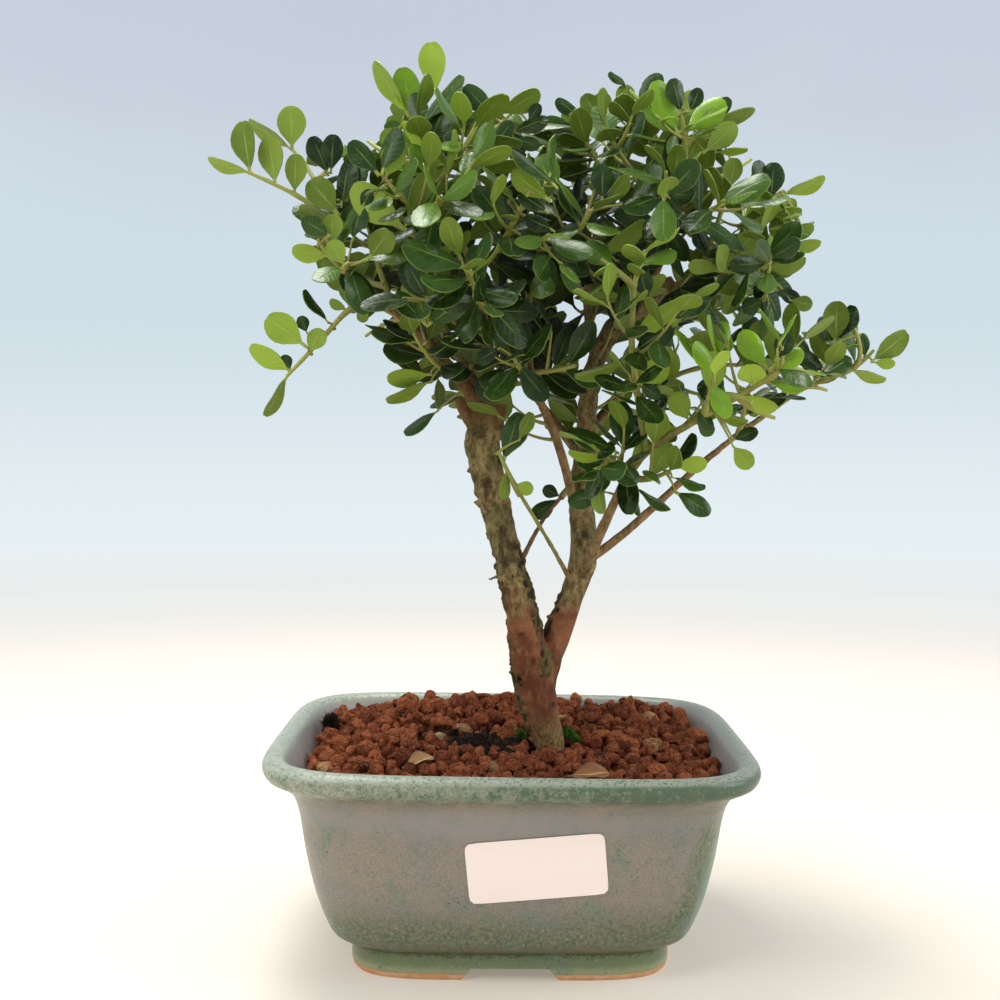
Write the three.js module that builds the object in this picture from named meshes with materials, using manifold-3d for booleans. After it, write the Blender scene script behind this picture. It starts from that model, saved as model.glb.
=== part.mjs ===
// Japanese holly bonsai (Ilex crenata) in a glazed rectangular pot.
// Millimetres, +Z up. The front of the pot faces -Y, and the floor it stands on is z = 0.

import * as THREE from 'three';
import { mergeVertices } from 'three/addons/utils/BufferGeometryUtils.js';
import Module from 'manifold-3d';

const wasm = await Module();
wasm.setup();

// Driving dimensions
const placeX = -19; // where the pot's centre stands, so that the whole tree is centred on the origin
const placeY = -4;
const gap = 0.3; // clearance between separate pieces that rest on each other

const rimHalfWidth = 70;
const rimToDepth = 8.75; // how much less the pot measures from centre to front than centre to side
const potHeight = 62.5;
const cornerPower = 5.2; // power of the superellipse that rounds the pot's corners
const potSides = 28;
const floorTop = 9.5; // top of the pot's floor, where the soil begins
const footGapHeight = 3.5;
const footGapWidth = 27; // opening between the front feet
const sideFootGapWidth = 22;
const drainRadius = 5;
const drainX = 23;

const granulePitch = 8.4;
const granuleHeight = 3.2;

const leafLength = 14;
const leafWidthRatio = 0.57;
const bladeThickness = 0.65;
const tipSpacing = 4.5; // from the tip of a shoot back to its first pair of leaves
const nodeSpacing = 11; // from pair to pair
const shootRadius = 0.9;
const nodeTurn = THREE.MathUtils.degToRad(85); // turn round the shoot from pair to pair
const pairTurn = THREE.MathUtils.degToRad(150); // turn between the two leaves of a pair
const leafReach = 4.1; // how far the middle of a blade stays from other blades
const stemReach = 2.6;

const labelWidth = 37.5;
const labelHeight = 17.5;
const labelThickness = 0.6;

const up = new THREE.Vector3(0, 0, 1);

// Materials
function finish(color, roughness, metalness = 0) {
  return new THREE.MeshStandardMaterial({ color, roughness, metalness });
}
const materials = {
  glaze: finish(0x8a9084, 0.35),
  soil: finish(0x7a4330, 0.95),
  bark: finish(0x7d6650, 0.85),
  foliage: finish(0x3f6b2c, 0.4),
  moss: finish(0x3f7a2a, 0.95),
  dryLeaf: finish(0xa9784a, 0.75),
  peat: finish(0x231c1a, 0.95),
  mesh: finish(0x2b2b2b, 0.6),
  paper: finish(0xf1efee, 0.6),
};

// A repeatable number from 0 to 1 for each pair of whole numbers
function noise(a, b) {
  const wave = Math.sin(a * 12.9898 + b * 78.233 + 4.1) * 43758.5453;
  return wave - Math.floor(wave);
}

// Solids from closed meshes, and back
function solidOf(geometry) {
  const bare = geometry.clone();
  bare.deleteAttribute('normal');
  bare.deleteAttribute('uv');
  const merged = mergeVertices(bare, 1e-4);
  return new wasm.Manifold(new wasm.Mesh({
    numProp: 3,
    vertProperties: merged.attributes.position.array,
    triVerts: new Uint32Array(merged.index.array),
  }));
}

function geometryOf(solid) {
  const mesh = solid.getMesh();
  const geometry = new THREE.BufferGeometry();
  geometry.setAttribute('position', new THREE.BufferAttribute(new Float32Array(mesh.vertProperties), 3));
  geometry.setIndex(new THREE.BufferAttribute(new Uint32Array(mesh.triVerts), 1));
  return geometry;
}

function solidFromFaces(points, faces) {
  const geometry = new THREE.BufferGeometry();
  const positions = points.flatMap((p) => [p.x, p.y, p.z]);
  geometry.setAttribute('position', new THREE.Float32BufferAttribute(positions, 3));
  geometry.setIndex(faces.flat());
  return solidOf(geometry);
}

// Rings of points joined into one closed solid, with a fan of faces over each end.
// Each ring runs anticlockwise as seen from the end that the rings advance to.
function loft(rings) {
  const sides = rings[0].length;
  const points = rings.flat();
  const faces = [];
  for (let r = 0; r + 1 < rings.length; r += 1) {
    for (let s = 0; s < sides; s += 1) {
      const a = r * sides + s;
      const b = r * sides + ((s + 1) % sides);
      faces.push([a, b, b + sides], [a, b + sides, a + sides]);
    }
  }
  const last = (rings.length - 1) * sides;
  for (let s = 1; s + 1 < sides; s += 1) {
    faces.push([0, s + 1, s], [last, last + s, last + s + 1]);
  }
  return solidFromFaces(points, faces);
}

function box(low, high) {
  const size = high.map((value, i) => value - low[i]);
  const geometry = new THREE.BoxGeometry(...size);
  geometry.translate(...low.map((value, i) => value + size[i] / 2));
  return solidOf(geometry);
}

// Pot
const outerProfile = [
  // height, half width
  [0, 44.6], [1.2, 46], [7.2, 46.4], [8.6, 48.4], [11, 51.6], [16, 53.9], [28, 57.4], [41, 59.7],
  [50, 61.7], [54, 64.2], [57.2, 69], [60, rimHalfWidth], [61.8, 69], [potHeight, 67],
];
const innerProfile = [
  [61.9, 64.9], [59.5, 63.3], [52, 60.6], [32, 54.6], [14, 49], [floorTop, 44],
];

function potRing(halfWidth, z) {
  const halfDepth = halfWidth - rimToDepth;
  const ring = [];
  for (let i = 0; i < potSides; i += 1) {
    const angle = ((i + 0.5) / potSides) * 2 * Math.PI;
    const c = Math.cos(angle);
    const s = Math.sin(angle);
    const x = halfWidth * Math.sign(c) * Math.abs(c) ** (2 / cornerPower);
    const y = halfDepth * Math.sign(s) * Math.abs(s) ** (2 / cornerPower);
    ring.push(new THREE.Vector3(x, y, z));
  }
  return ring;
}

// A prism along Y with sloping ends, as the gaps between the feet have
function channel(width, length, height) {
  const half = width / 2;
  const slope = 2.5;
  const outline = new THREE.Shape();
  outline.moveTo(-half - 0.6, -1);
  outline.lineTo(half + 0.6, -1);
  outline.lineTo(half, 0);
  outline.lineTo(half - slope, height);
  outline.lineTo(-half + slope, height);
  outline.lineTo(-half, 0);
  const geometry = new THREE.ExtrudeGeometry(outline, { depth: length, bevelEnabled: false });
  geometry.translate(0, 0, -length / 2);
  geometry.rotateX(Math.PI / 2);
  return geometry;
}

function upright(radius, sides, x, y, low, high) {
  const geometry = new THREE.CylinderGeometry(radius, radius, high - low, sides);
  geometry.rotateX(Math.PI / 2);
  geometry.translate(x, y, (low + high) / 2);
  return solidOf(geometry);
}

function makePot() {
  const rings = [...outerProfile, ...innerProfile].map(([z, halfWidth]) => potRing(halfWidth, z));
  const frontToBack = channel(footGapWidth, 120, footGapHeight);
  const sideToSide = channel(sideFootGapWidth, 140, footGapHeight).rotateZ(Math.PI / 2);
  return loft(rings)
    .subtract(solidOf(frontToBack))
    .subtract(solidOf(sideToSide))
    .subtract(upright(drainRadius, 12, -drainX, 0, -1, floorTop + 1))
    .subtract(upright(drainRadius, 12, drainX, 0, -1, floorTop + 1));
}

// Mesh squares over the drain holes
const meshHalf = 8;
const meshThickness = 1;

function makeDrainMesh(x) {
  const cells = 2;
  const holeHalf = 2.6;
  const pitch = (2 * meshHalf) / (cells + 0.25);
  const low = floorTop + gap;
  const high = low + meshThickness;
  let plate = box([x - meshHalf, -meshHalf, low], [x + meshHalf, meshHalf, high]);
  for (let i = 0; i < cells; i += 1) {
    for (let j = 0; j < cells; j += 1) {
      const cx = x + (i - (cells - 1) / 2) * pitch;
      const cy = (j - (cells - 1) / 2) * pitch;
      plate = plate.subtract(box(
        [cx - holeHalf, cy - holeHalf, low - 1], [cx + holeHalf, cy + holeHalf, high + 1]));
    }
  }
  return plate;
}

// Trunk, branches and roots
// Each limb is a row of points with the radius at its start, through its length and at its end.
const limbs = {
  stemLeft: {
    points: [[10, 4, 30], [11, 3, 46], [12, 3, 57], [9.5, 2, 66], [7.5, 1, 76], [4.5, -1, 91], [2, -2, 103],
      [-4, -1, 127], [-7, 0, 139], [-9, 1, 150], [-8, 1, 163]],
    radii: [3.5, 5.4, 4.6, 5.8, 6.1, 4.7, 4.3, 4.2, 4.8, 5.4, 3.6],
    sides: 7,
  },
  stemRight: {
    points: [[8, 3, 76], [11, 4, 83], [14, 5, 90], [19, 6, 104], [22, 6, 114], [22, 7, 123], [21, 8, 131]],
    radii: [4, 4.2, 3.9, 3.6, 4.2, 4.1, 3.4],
    sides: 7,
  },
  leader: {
    points: [[21, 8, 128], [22, 11, 141], [23, 13, 153], [25, 14, 172], [31, 12, 185], [42, 8, 195]],
    radii: [3.4, 3, 2.7, 3.4],
    sides: 6,
  },
  leftLeader: {
    points: [[-8, -1, 160], [-7, -12, 177], [-7, -20, 189], [-14, -26, 204], [-21, -28, 217],
      [-26, -24, 238]],
    radii: [2.6, 1.7, 1.3, 1.1],
  },
  leftArm: {
    points: [[-9, 0, 160], [-17, -6, 170], [-27, -12, 181], [-41, -18, 193], [-52, -20, 204]],
    radii: [3, 2, 1.5, 1.1],
  },
  leftBack: {
    points: [[-8, 2, 159], [-14, 16, 172], [-22, 32, 184], [-29, 44, 197]],
    radii: [2.9, 2, 1.5, 1.1],
  },
  backMid: {
    points: [[22, 11, 145], [12, 30, 159], [3, 44, 172], [-3, 53, 185]],
    radii: [2.3, 1.7, 1.4, 1.1],
  },
  topBack: {
    points: [[26, 14, 175], [24, 25, 192], [24, 33, 210], [26, 37, 226]],
    radii: [2.4, 1.8, 1.4, 1.1],
  },
  rightTop: {
    points: [[39, 9, 192], [45, 0, 207], [49, -8, 220], [49, -14, 232]],
    radii: [2.4, 1.8, 1.4, 1.1],
  },
  innerTop: {
    points: [[20, 6, 127], [15, 2, 146], [11, -2, 156], [6, -5, 168], [4, -6, 186], [7, -4, 204],
      [9, -3, 218]],
    radii: [1.9, 1.6, 1.4, 1.1],
  },
  rightArm: {
    points: [[40, 9, 193], [57, 4, 200], [71, 0, 204], [82, -2, 209]],
    radii: [2.4, 1.7, 1.3, 1.1],
  },
  backRight: {
    points: [[23, 13, 151], [34, 28, 165], [46, 40, 178], [57, 50, 190]],
    radii: [2.4, 1.8, 1.4, 1.1],
  },
  frontRight: {
    points: [[22, 3, 110], [27, -8, 125], [37, -20, 146], [49, -28, 155], [62, -34, 163], [70, -38, 168]],
    radii: [2.3, 1.7, 1.4, 1.1],
  },
  lowRight: {
    points: [[23, 8, 113], [35, 10, 122], [61, 14, 145], [78, 16, 158], [91, 16, 167], [103, 14, 172]],
    radii: [1.9, 1.5, 1.2, 1],
  },
  frontStem: {
    points: [[38, -22, 148], [34, -33, 164], [32, -38, 177], [32, -40, 188]],
    radii: [1.3, 1.15, 1.1, 1.1],
  },
  greenTwig: {
    points: [[18, 3, 108], [10, -5, 122], [2, -12, 135]],
    radii: [1.1, 0.8, 0.8],
  },
  backTwig: {
    points: [[2, 1, 112], [10, 12, 126], [16, 18, 133]],
    radii: [1.1, 0.85, 0.8],
  },
};

// Pruned stubs and short roots: where they start and end, and how thick they are
const stubs = [
  [[-6, 0, 146], [-13, -5, 149], 1.1],
  [[-7, 0, 140], [-14, -3, 143], 1],
  [[5, -1, 92], [10, -1, 97], 1],
  [[16, 6, 97], [22, 5, 101], 1],
  [[-7, 1, 158], [-17, 0, 167], 2.4],
  [[42, 8, 195], [49, 6, 199], 3.4],
];
const roots = [
  [[11, 3, 52], [28, -2, 45], [42, -8, 36]],
  [[11, 3, 52], [4, -14, 46], [-4, -26, 36]],
  [[11, 3, 50], [-6, 4, 45], [-22, 8, 36]],
  [[11, 3, 51], [14, 18, 47], [18, 32, 37]],
];
const rootRadii = [4.2, 2.4, 1.2];

const vector = (p) => new THREE.Vector3(...p);

function radiusAlong(radii, t) {
  const place = t * (radii.length - 1);
  const i = Math.min(Math.floor(place), radii.length - 2);
  return THREE.MathUtils.lerp(radii[i], radii[i + 1], place - i);
}

// Rings of a round limb along a curve. extra widens it and lengthens both its ends.
function limbRings(curve, radii, sides, steps, extra = 0) {
  const frames = curve.computeFrenetFrames(steps, false);
  const rings = [];
  for (let i = 0; i <= steps; i += 1) {
    const t = i / steps;
    const centre = curve.getPointAt(t);
    if (i === 0) centre.addScaledVector(frames.tangents[i], -extra);
    if (i === steps) centre.addScaledVector(frames.tangents[i], extra);
    const radius = radiusAlong(radii, t) + extra;
    const ring = [];
    for (let s = 0; s < sides; s += 1) {
      const angle = (s / sides) * 2 * Math.PI;
      ring.push(centre.clone()
        .addScaledVector(frames.normals[i], radius * Math.cos(angle))
        .addScaledVector(frames.binormals[i], radius * Math.sin(angle)));
    }
    rings.push(ring);
  }
  return rings;
}

for (const limb of Object.values(limbs)) {
  limb.curve = new THREE.CatmullRomCurve3(limb.points.map(vector));
  limb.steps = limb.points.length - 1;
}

function makeRoots(extra) {
  return roots.map((points) => {
    const curve = new THREE.CatmullRomCurve3(points.map(vector));
    return loft(limbRings(curve, rootRadii, 4, 2, extra));
  });
}

function makeStubs() {
  return stubs.map(([from, to, radius]) => {
    const curve = new THREE.LineCurve3(vector(from), vector(to));
    return loft(limbRings(curve, [radius, radius * 0.75], radius > 2 ? 6 : 4, 1));
  });
}

function makeTrunk() {
  const woody = Object.values(limbs).map((limb) => (
    loft(limbRings(limb.curve, limb.radii, limb.sides ?? 5, limb.steps))));
  return [...woody, ...makeStubs(), ...makeRoots(0)].reduce((whole, piece) => whole.add(piece));
}

// The part of the trunk that the soil holds, with clearance round it
function makeRootHole() {
  const { curve, radii, sides, steps } = limbs.stemLeft;
  const trunk = loft(limbRings(curve, radii, sides, steps, gap + 0.15));
  return makeRoots(gap + 0.15).reduce((whole, piece) => whole.add(piece), trunk);
}

// Soil
function soilLevel(x, y) {
  const backHeap = 3.2 * Math.exp(-(((x + 8) / 30) ** 2) - ((y - 32) / 15) ** 2);
  const rightHeap = 2.6 * Math.exp(-(((x - 38) / 17) ** 2) - ((y - 30) / 18) ** 2);
  const slope = 3.2 * (y / 55);
  return 55.6 + slope + backHeap + rightHeap - 1.4 * (x / 60) ** 2;
}

// The granular top: a hexagonal lattice whose cell middles stand up and whose corners sink,
// each moved a little by a repeatable amount
function makeSoil(pieces) {
  const points = [];
  const index = new Map();
  const reach = 70;
  const corner = granulePitch / Math.sqrt(3);
  const rows = Math.ceil(reach / (1.5 * corner));
  const cols = Math.ceil(reach / granulePitch);
  const spot = (x, y, raise) => {
    const key = `${Math.round(x * 20)},${Math.round(y * 20)}`;
    if (!index.has(key)) {
      const a = Math.round(x * 20);
      const b = Math.round(y * 20);
      const shiftX = (noise(a, b) - 0.5) * corner * 0.5;
      const shiftY = (noise(b, a + 7) - 0.5) * corner * 0.5;
      const lift = raise ? granuleHeight * (0.4 + 0.6 * noise(a + 3, b)) : -1.2 * noise(a, b + 5);
      index.set(key, points.length);
      points.push(new THREE.Vector3(x + shiftX, y + shiftY, soilLevel(x, y) + lift));
    }
    return index.get(key);
  };
  const faces = [];
  for (let r = -rows; r <= rows; r += 1) {
    for (let c = -cols; c <= cols; c += 1) {
      const cx = (c + (r % 2 ? 0.5 : 0)) * granulePitch;
      const cy = r * 1.5 * corner;
      const middle = spot(cx, cy, true);
      const ring = [];
      for (let k = 0; k < 6; k += 1) {
        const angle = (k + 0.5) * (Math.PI / 3);
        ring.push(spot(cx + corner * Math.cos(angle), cy + corner * Math.sin(angle), false));
      }
      for (let k = 0; k < 6; k += 1) faces.push([middle, ring[k], ring[(k + 1) % 6]]);
    }
  }
  const top = closeBelow(points, faces, 0);
  const filling = innerProfile.map(([z, halfWidth]) => potRing(halfWidth - gap, z)).reverse();
  filling[0].forEach((p) => p.setZ(floorTop + gap));
  filling[filling.length - 1].forEach((p) => p.setZ(75));
  return pieces.reduce((soil, piece) => soil.subtract(piece), loft(filling).intersect(top));
}

// A surface turned into a solid by a wall round its edge and a flat base
function closeBelow(points, faces, floor) {
  const edges = new Map();
  for (const face of faces) {
    face.forEach((a, i) => {
      const b = face[(i + 1) % 3];
      if (edges.has(`${b},${a}`)) edges.delete(`${b},${a}`);
      else edges.set(`${a},${b}`, [a, b]);
    });
  }
  const all = points.slice();
  const below = new Map();
  const lower = (i) => {
    if (!below.has(i)) {
      below.set(i, all.length);
      all.push(new THREE.Vector3(points[i].x, points[i].y, floor));
    }
    return below.get(i);
  };
  const middle = all.length;
  all.push(new THREE.Vector3(0, 0, floor));
  const closed = faces.slice();
  for (const [a, b] of edges.values()) {
    const c = lower(a);
    const d = lower(b);
    closed.push([a, c, d], [a, d, b], [middle, d, c]);
  }
  return solidFromFaces(all, closed);
}

// Leaves and shoots
// A leaf is placed by its root, the way it points, the way its upper face looks and its length.
function leafPose(root, axis, radial, tilt, length) {
  const direction = axis.clone().multiplyScalar(Math.cos(tilt)).addScaledVector(radial, Math.sin(tilt));
  const facing = axis.clone().addScaledVector(up, 0.55);
  facing.addScaledVector(direction, -facing.dot(direction)).normalize();
  const side = new THREE.Vector3().crossVectors(facing, direction).normalize();
  return { root, direction, facing, side, length };
}

// Outline of the blade: distance from the root as a share of the length, then half width as a
// share of the greatest half width. It narrows to the stalk and ends in a blunt round tip.
const bladeStations = [[0.34, 0.68], [0.68, 1], [0.97, 0.46]];
const bladeArch = 0.16;

function bladePoint(pose, s, w, lift) {
  const drop = -bladeArch * s * s * pose.length;
  return pose.root.clone()
    .addScaledVector(pose.direction, s * pose.length)
    .addScaledVector(pose.side, w * (leafWidthRatio / 2) * pose.length)
    .addScaledVector(pose.facing, drop + lift);
}

// Points spread over a blade, by which it is kept clear of its neighbours
function bladeSamples(pose) {
  const samples = [bladePoint(pose, 1, 0, 0)];
  for (const s of [0.34, 0.52, 0.7, 0.88]) {
    for (const w of [-0.75, 0, 0.75]) samples.push(bladePoint(pose, s, w, 0));
  }
  return samples;
}

// A skin is a closed surface made of rings of four corners joined by walls. Stems are rows of
// such rings, and leaves and side shoots grow out of the faces between them.
function addRing(skin, corners) {
  const first = skin.points.length;
  skin.points.push(...corners);
  return corners.map((_, i) => first + i);
}

function addWalls(skin, low, high, open = []) {
  for (let s = 0; s < 4; s += 1) {
    const e = (s + 1) % 4;
    if (!open.includes(s)) skin.faces.push([low[s], low[e], high[e]], [low[s], high[e], high[s]]);
  }
}

function addCap(skin, [a, b, c, d]) {
  skin.faces.push([a, b, c], [a, c, d]);
}

// The start of a ring is turned so that its corners lie nearest to those of the ring before it
function turnedToMatch(skin, base, corners) {
  const middle = (points) => points.reduce((sum, p) => sum.add(p), new THREE.Vector3()).divideScalar(4);
  const from = base.map((i) => skin.points[i]);
  const fromMiddle = middle(from);
  const toMiddle = middle(corners);
  let best = corners;
  let most = -Infinity;
  for (let shift = 0; shift < 4; shift += 1) {
    const turned = corners.map((_, i) => corners[(i + shift) % 4]);
    const match = turned.reduce((sum, p, i) => {
      const spoke = p.clone().sub(toMiddle).normalize();
      return sum + spoke.dot(from[i].clone().sub(fromMiddle).normalize());
    }, 0);
    if (match > most) [best, most] = [turned, match];
  }
  return best;
}

function addLeaf(skin, base, pose) {
  let last = base;
  for (const [s, w] of bladeStations) {
    const half = bladeThickness / 2;
    const section = [[w, -half], [w, half], [-w, half], [-w, -half]];
    const corners = section.map(([across, lift]) => bladePoint(pose, s, across, lift));
    const ring = addRing(skin, turnedToMatch(skin, last, corners));
    addWalls(skin, last, ring);
    last = ring;
  }
  addCap(skin, last);
}

// Distance from a point to the nearest bark, taking the limbs as rows of straight cones
const barkChain = Object.values(limbs).flatMap(({ curve, radii, steps }) => {
  const chain = [];
  for (let i = 0; i < steps; i += 1) {
    const [start, end] = [i / steps, (i + 1) / steps];
    chain.push({
      line: new THREE.Line3(curve.getPointAt(start), curve.getPointAt(end)),
      radii: [radiusAlong(radii, start), radiusAlong(radii, end)],
    });
  }
  return chain;
});

function barkDistance(point) {
  let nearest = Infinity;
  const closest = new THREE.Vector3();
  for (const { line, radii } of barkChain) {
    const t = line.closestPointToPointParameter(point, true);
    line.at(t, closest);
    nearest = Math.min(nearest, closest.distanceTo(point) - THREE.MathUtils.lerp(...radii, t));
  }
  return nearest;
}

// A shoot is a bent line in one plane. Its frame has one side across that plane throughout.
function shootCurve(start, heading, end, bend = 0.45) {
  const middle = start.clone().addScaledVector(heading, start.distanceTo(end) * bend);
  const curve = new THREE.QuadraticBezierCurve3(start, middle, end);
  const plane = new THREE.Vector3().crossVectors(heading, end.clone().sub(start));
  if (plane.length() < 0.5) plane.crossVectors(heading, up);
  curve.across = plane.normalize();
  return curve;
}

function shootFrame(curve, t) {
  const centre = curve.getPointAt(t);
  const axis = curve.getTangentAt(t);
  const normal = new THREE.Vector3().crossVectors(curve.across, axis).normalize();
  return { centre, axis, normal, across: curve.across };
}

function aroundFrame({ normal, across }, angle) {
  return normal.clone().multiplyScalar(Math.cos(angle)).addScaledVector(across, Math.sin(angle));
}

function shootCorners(curve, t, radius) {
  const frame = shootFrame(curve, t);
  return [0.5, 1.5, 2.5, 3.5].map((s) => (
    frame.centre.clone().addScaledVector(aroundFrame(frame, s * (Math.PI / 2)), radius)));
}

const shootTaper = (t) => shootRadius * (1 - 0.25 * t);

// Where a shoot leaves the bark: the first place along it where its end clears the limb
function startOnBark(from, end) {
  const heading = end.clone().sub(from).normalize();
  heading.z -= 0.25;
  heading.normalize();
  for (let step = 0; step < 60; step += 1) {
    const start = from.clone().addScaledVector(heading, step * 0.1);
    const curve = shootCurve(start, heading, end);
    const clear = shootCorners(curve, 0, shootRadius).every((corner) => barkDistance(corner) >= gap);
    if (clear) return curve;
  }
  throw new Error('a shoot never clears its limb');
}

// Leafy sprays: the limb that each grows on, how far along it, and where its shoots end.
// The first shoot grows from the limb and the others fork from it.
const sprays = [
  ['leftArm', 1, [-75, -27, 224], [-65, -8, 235]],
  ['leftArm', 0.82, [-54, -34, 205], [-46, -44, 196]],
  ['leftArm', 0.7, [-64, -33, 168]],
  ['leftArm', 0.2, [-28, -26, 180]],
  ['leftArm', 0.6, [-43, -4, 213], [-58, 8, 211]],
  ['leftLeader', 1, [-29, -22, 248], [-20, -13, 246]],
  ['leftLeader', 0.8, [-9, -30, 241], [0, -16, 245]],
  ['leftLeader', 0.62, [-35, -45, 220], [-20, -55, 213]],
  ['leftLeader', 0.5, [4, -46, 217]],
  ['leftLeader', 0.36, [-12, -58, 194], [-29, -53, 187]],
  ['leftLeader', 0.88, [-43, -6, 238], [-27, 5, 246]],
  ['leftBack', 1, [-40, 60, 213], [-23, 62, 217]],
  ['leftBack', 0.75, [-54, 37, 201], [-49, 47, 185]],
  ['leftBack', 0.6, [-31, 29, 229], [-48, 21, 223]],
  ['leftBack', 0.4, [-34, 23, 169]],
  ['backMid', 1, [-12, 68, 198], [6, 67, 200]],
  ['backMid', 0.75, [-12, 57, 166]],
  ['backMid', 0.6, [22, 60, 176]],
  ['backMid', 0.45, [0, 30, 208]],
  ['topBack', 1, [31, 44, 248], [14, 46, 245]],
  ['topBack', 0.8, [47, 47, 231], [57, 34, 241]],
  ['topBack', 0.6, [1, 41, 225], [-7, 27, 240]],
  ['topBack', 0.72, [19, 17, 248]],
  ['rightTop', 1, [47, -20, 243], [58, -10, 245]],
  ['rightTop', 0.78, [34, 1, 250], [47, 15, 248]],
  ['rightTop', 0.62, [25, -25, 238], [16, -12, 245]],
  ['rightTop', 0.45, [40, -44, 222], [56, -41, 215]],
  ['rightTop', 0.85, [72, 7, 236]],
  ['innerTop', 1, [10, -5, 238], [-6, 6, 235]],
  ['innerTop', 0.8, [21, -36, 213], [9, -45, 205]],
  ['innerTop', 0.5, [0, -34, 173], [17, -33, 171]],
  ['rightArm', 1, [78, -7, 224], [85, 3, 211]],
  ['rightArm', 0.35, [63, -8, 226]],
  ['rightArm', 0.72, [74, -17, 197], [70, -33, 197]],
  ['rightArm', 0.8, [87, 22, 216], [74, 30, 225]],
  ['backRight', 1, [66, 62, 203], [79, 50, 199]],
  ['backRight', 0.75, [41, 63, 196], [31, 61, 212]],
  ['backRight', 0.6, [66, 38, 165], [81, 36, 175]],
  ['frontRight', 1, [72, -42, 176], [79, -36, 170]],
  ['frontRight', 0.76, [54, -44, 172], [64, -43, 161]],
  ['frontRight', 0.42, [44, -27, 142]],
  ['frontRight', 0.46, [22, -31, 149]],
  ['frontRight', 0.88, [73, -29, 157]],
  ['lowRight', 1, [112, 13, 179], [103, 4, 186]],
  ['lowRight', 0.78, [91, 29, 176], [101, 27, 167]],
  ['lowRight', 0.62, [71, 1, 167]],
  ['frontStem', 1, [35, -43, 201], [23, -42, 199]],
  ['greenTwig', 1, [-4, -15, 147]],
  ['backTwig', 1, [24, 21, 144]],
];

const taken = []; // what later leaves keep clear of: a point, and how far to stay from it

function free(samples) {
  for (const p of samples) {
    if (barkDistance(p) < 1.2) return false;
    for (const { point, reach } of taken) {
      if (Math.abs(p.z - point.z) < reach && p.distanceTo(point) < reach) return false;
    }
  }
  return true;
}

// The places along a shoot where leaves stand in pairs, measured back from its tip
function nodePlaces(curve) {
  const length = curve.getLength();
  const places = [];
  for (let back = tipSpacing; back < length * 0.86; back += nodeSpacing) places.push(1 - back / length);
  return places;
}

const quarter = Math.PI / 2;
const faceNearest = (angle) => (((Math.round(angle / quarter) - 1) % 4) + 4) % 4;

function growShoot(curve, seed) {
  return {
    curve,
    seed,
    tip: null, // pose of the leaf at the tip
    nodes: nodePlaces(curve).map((place, i) => ({ place, turn: seed * 2.4 + i * nodeTurn, leaves: [] })),
    forks: [],
  };
}

// The main shoot of a spray, and the side shoots that leave it a third of the way along
function growSpray([limbName, at, ...ends], seed) {
  const limb = limbs[limbName];
  const from = limb.curve.getPointAt(at);
  const [mainEnd, ...sideEnds] = ends.map(vector);
  let curve;
  if (at === 1) {
    const heading = limb.curve.getTangentAt(1);
    curve = shootCurve(from.addScaledVector(heading, gap + 0.05), heading, mainEnd);
  } else {
    curve = startOnBark(from, mainEnd);
  }
  const main = growShoot(curve, seed * 3);
  sideEnds.forEach((end, i) => {
    const place = 0.3 + 0.12 * i;
    const frame = shootFrame(curve, place);
    const away = end.clone().sub(frame.centre);
    const angle = Math.atan2(away.dot(frame.across), away.dot(frame.normal));
    const face = faceNearest(angle);
    const outward = aroundFrame(frame, (face + 1) * quarter);
    const heading = frame.axis.clone().multiplyScalar(0.7).add(outward).normalize();
    const start = frame.centre.clone().addScaledVector(outward, shootTaper(place) * Math.SQRT1_2);
    const fork = growShoot(shootCurve(start, heading, end), seed * 3 + i + 1);
    main.forks.push({ place, face, shoot: fork });
    main.nodes = main.nodes.filter((node) => Math.abs(node.place - place) * curve.getLength() > 3);
  });
  return main;
}

// Tries turns and tilts until a leaf stands free, and returns nothing if none does
function placeLeaf(curve, place, turn, reachOut, seed) {
  const frame = shootFrame(curve, place);
  for (let attempt = 0; attempt < 14; attempt += 1) {
    const wobble = (n) => noise(seed, n + attempt * 17) - 0.5;
    const angle = turn + wobble(1) * (0.6 + attempt * 0.1);
    const tilt = THREE.MathUtils.degToRad(reachOut + wobble(2) * 20);
    const face = faceNearest(angle);
    const outward = place === 1 ? 0 : shootTaper(place) * Math.SQRT1_2;
    const root = frame.centre.clone().addScaledVector(aroundFrame(frame, (face + 1) * quarter), outward);
    const length = leafLength * (1 + wobble(3) * 0.2) * (place === 1 ? 0.85 : 1);
    const pose = leafPose(root, frame.axis, aroundFrame(frame, angle), tilt, length);
    const samples = bladeSamples(pose);
    if (free(samples)) {
      samples.forEach((point) => taken.push({ point, reach: leafReach }));
      return { pose, face };
    }
  }
  return null;
}

function leafOut(shoot) {
  const { curve, seed } = shoot;
  shoot.tip = placeLeaf(curve, 1, seed * 2.4 + 2, 16, seed * 41);
  shoot.nodes.forEach((node, i) => {
    const reachOut = i === 0 ? 44 : 58;
    for (const half of [0, 1]) {
      const turn = node.turn + half * pairTurn;
      const leaf = placeLeaf(curve, node.place, turn, reachOut, seed * 41 + i * 2 + half + 1);
      if (leaf && !node.leaves.some((other) => other.face === leaf.face)) node.leaves.push(leaf);
    }
  });
  shoot.forks.forEach((fork) => leafOut(fork.shoot));
}

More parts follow.
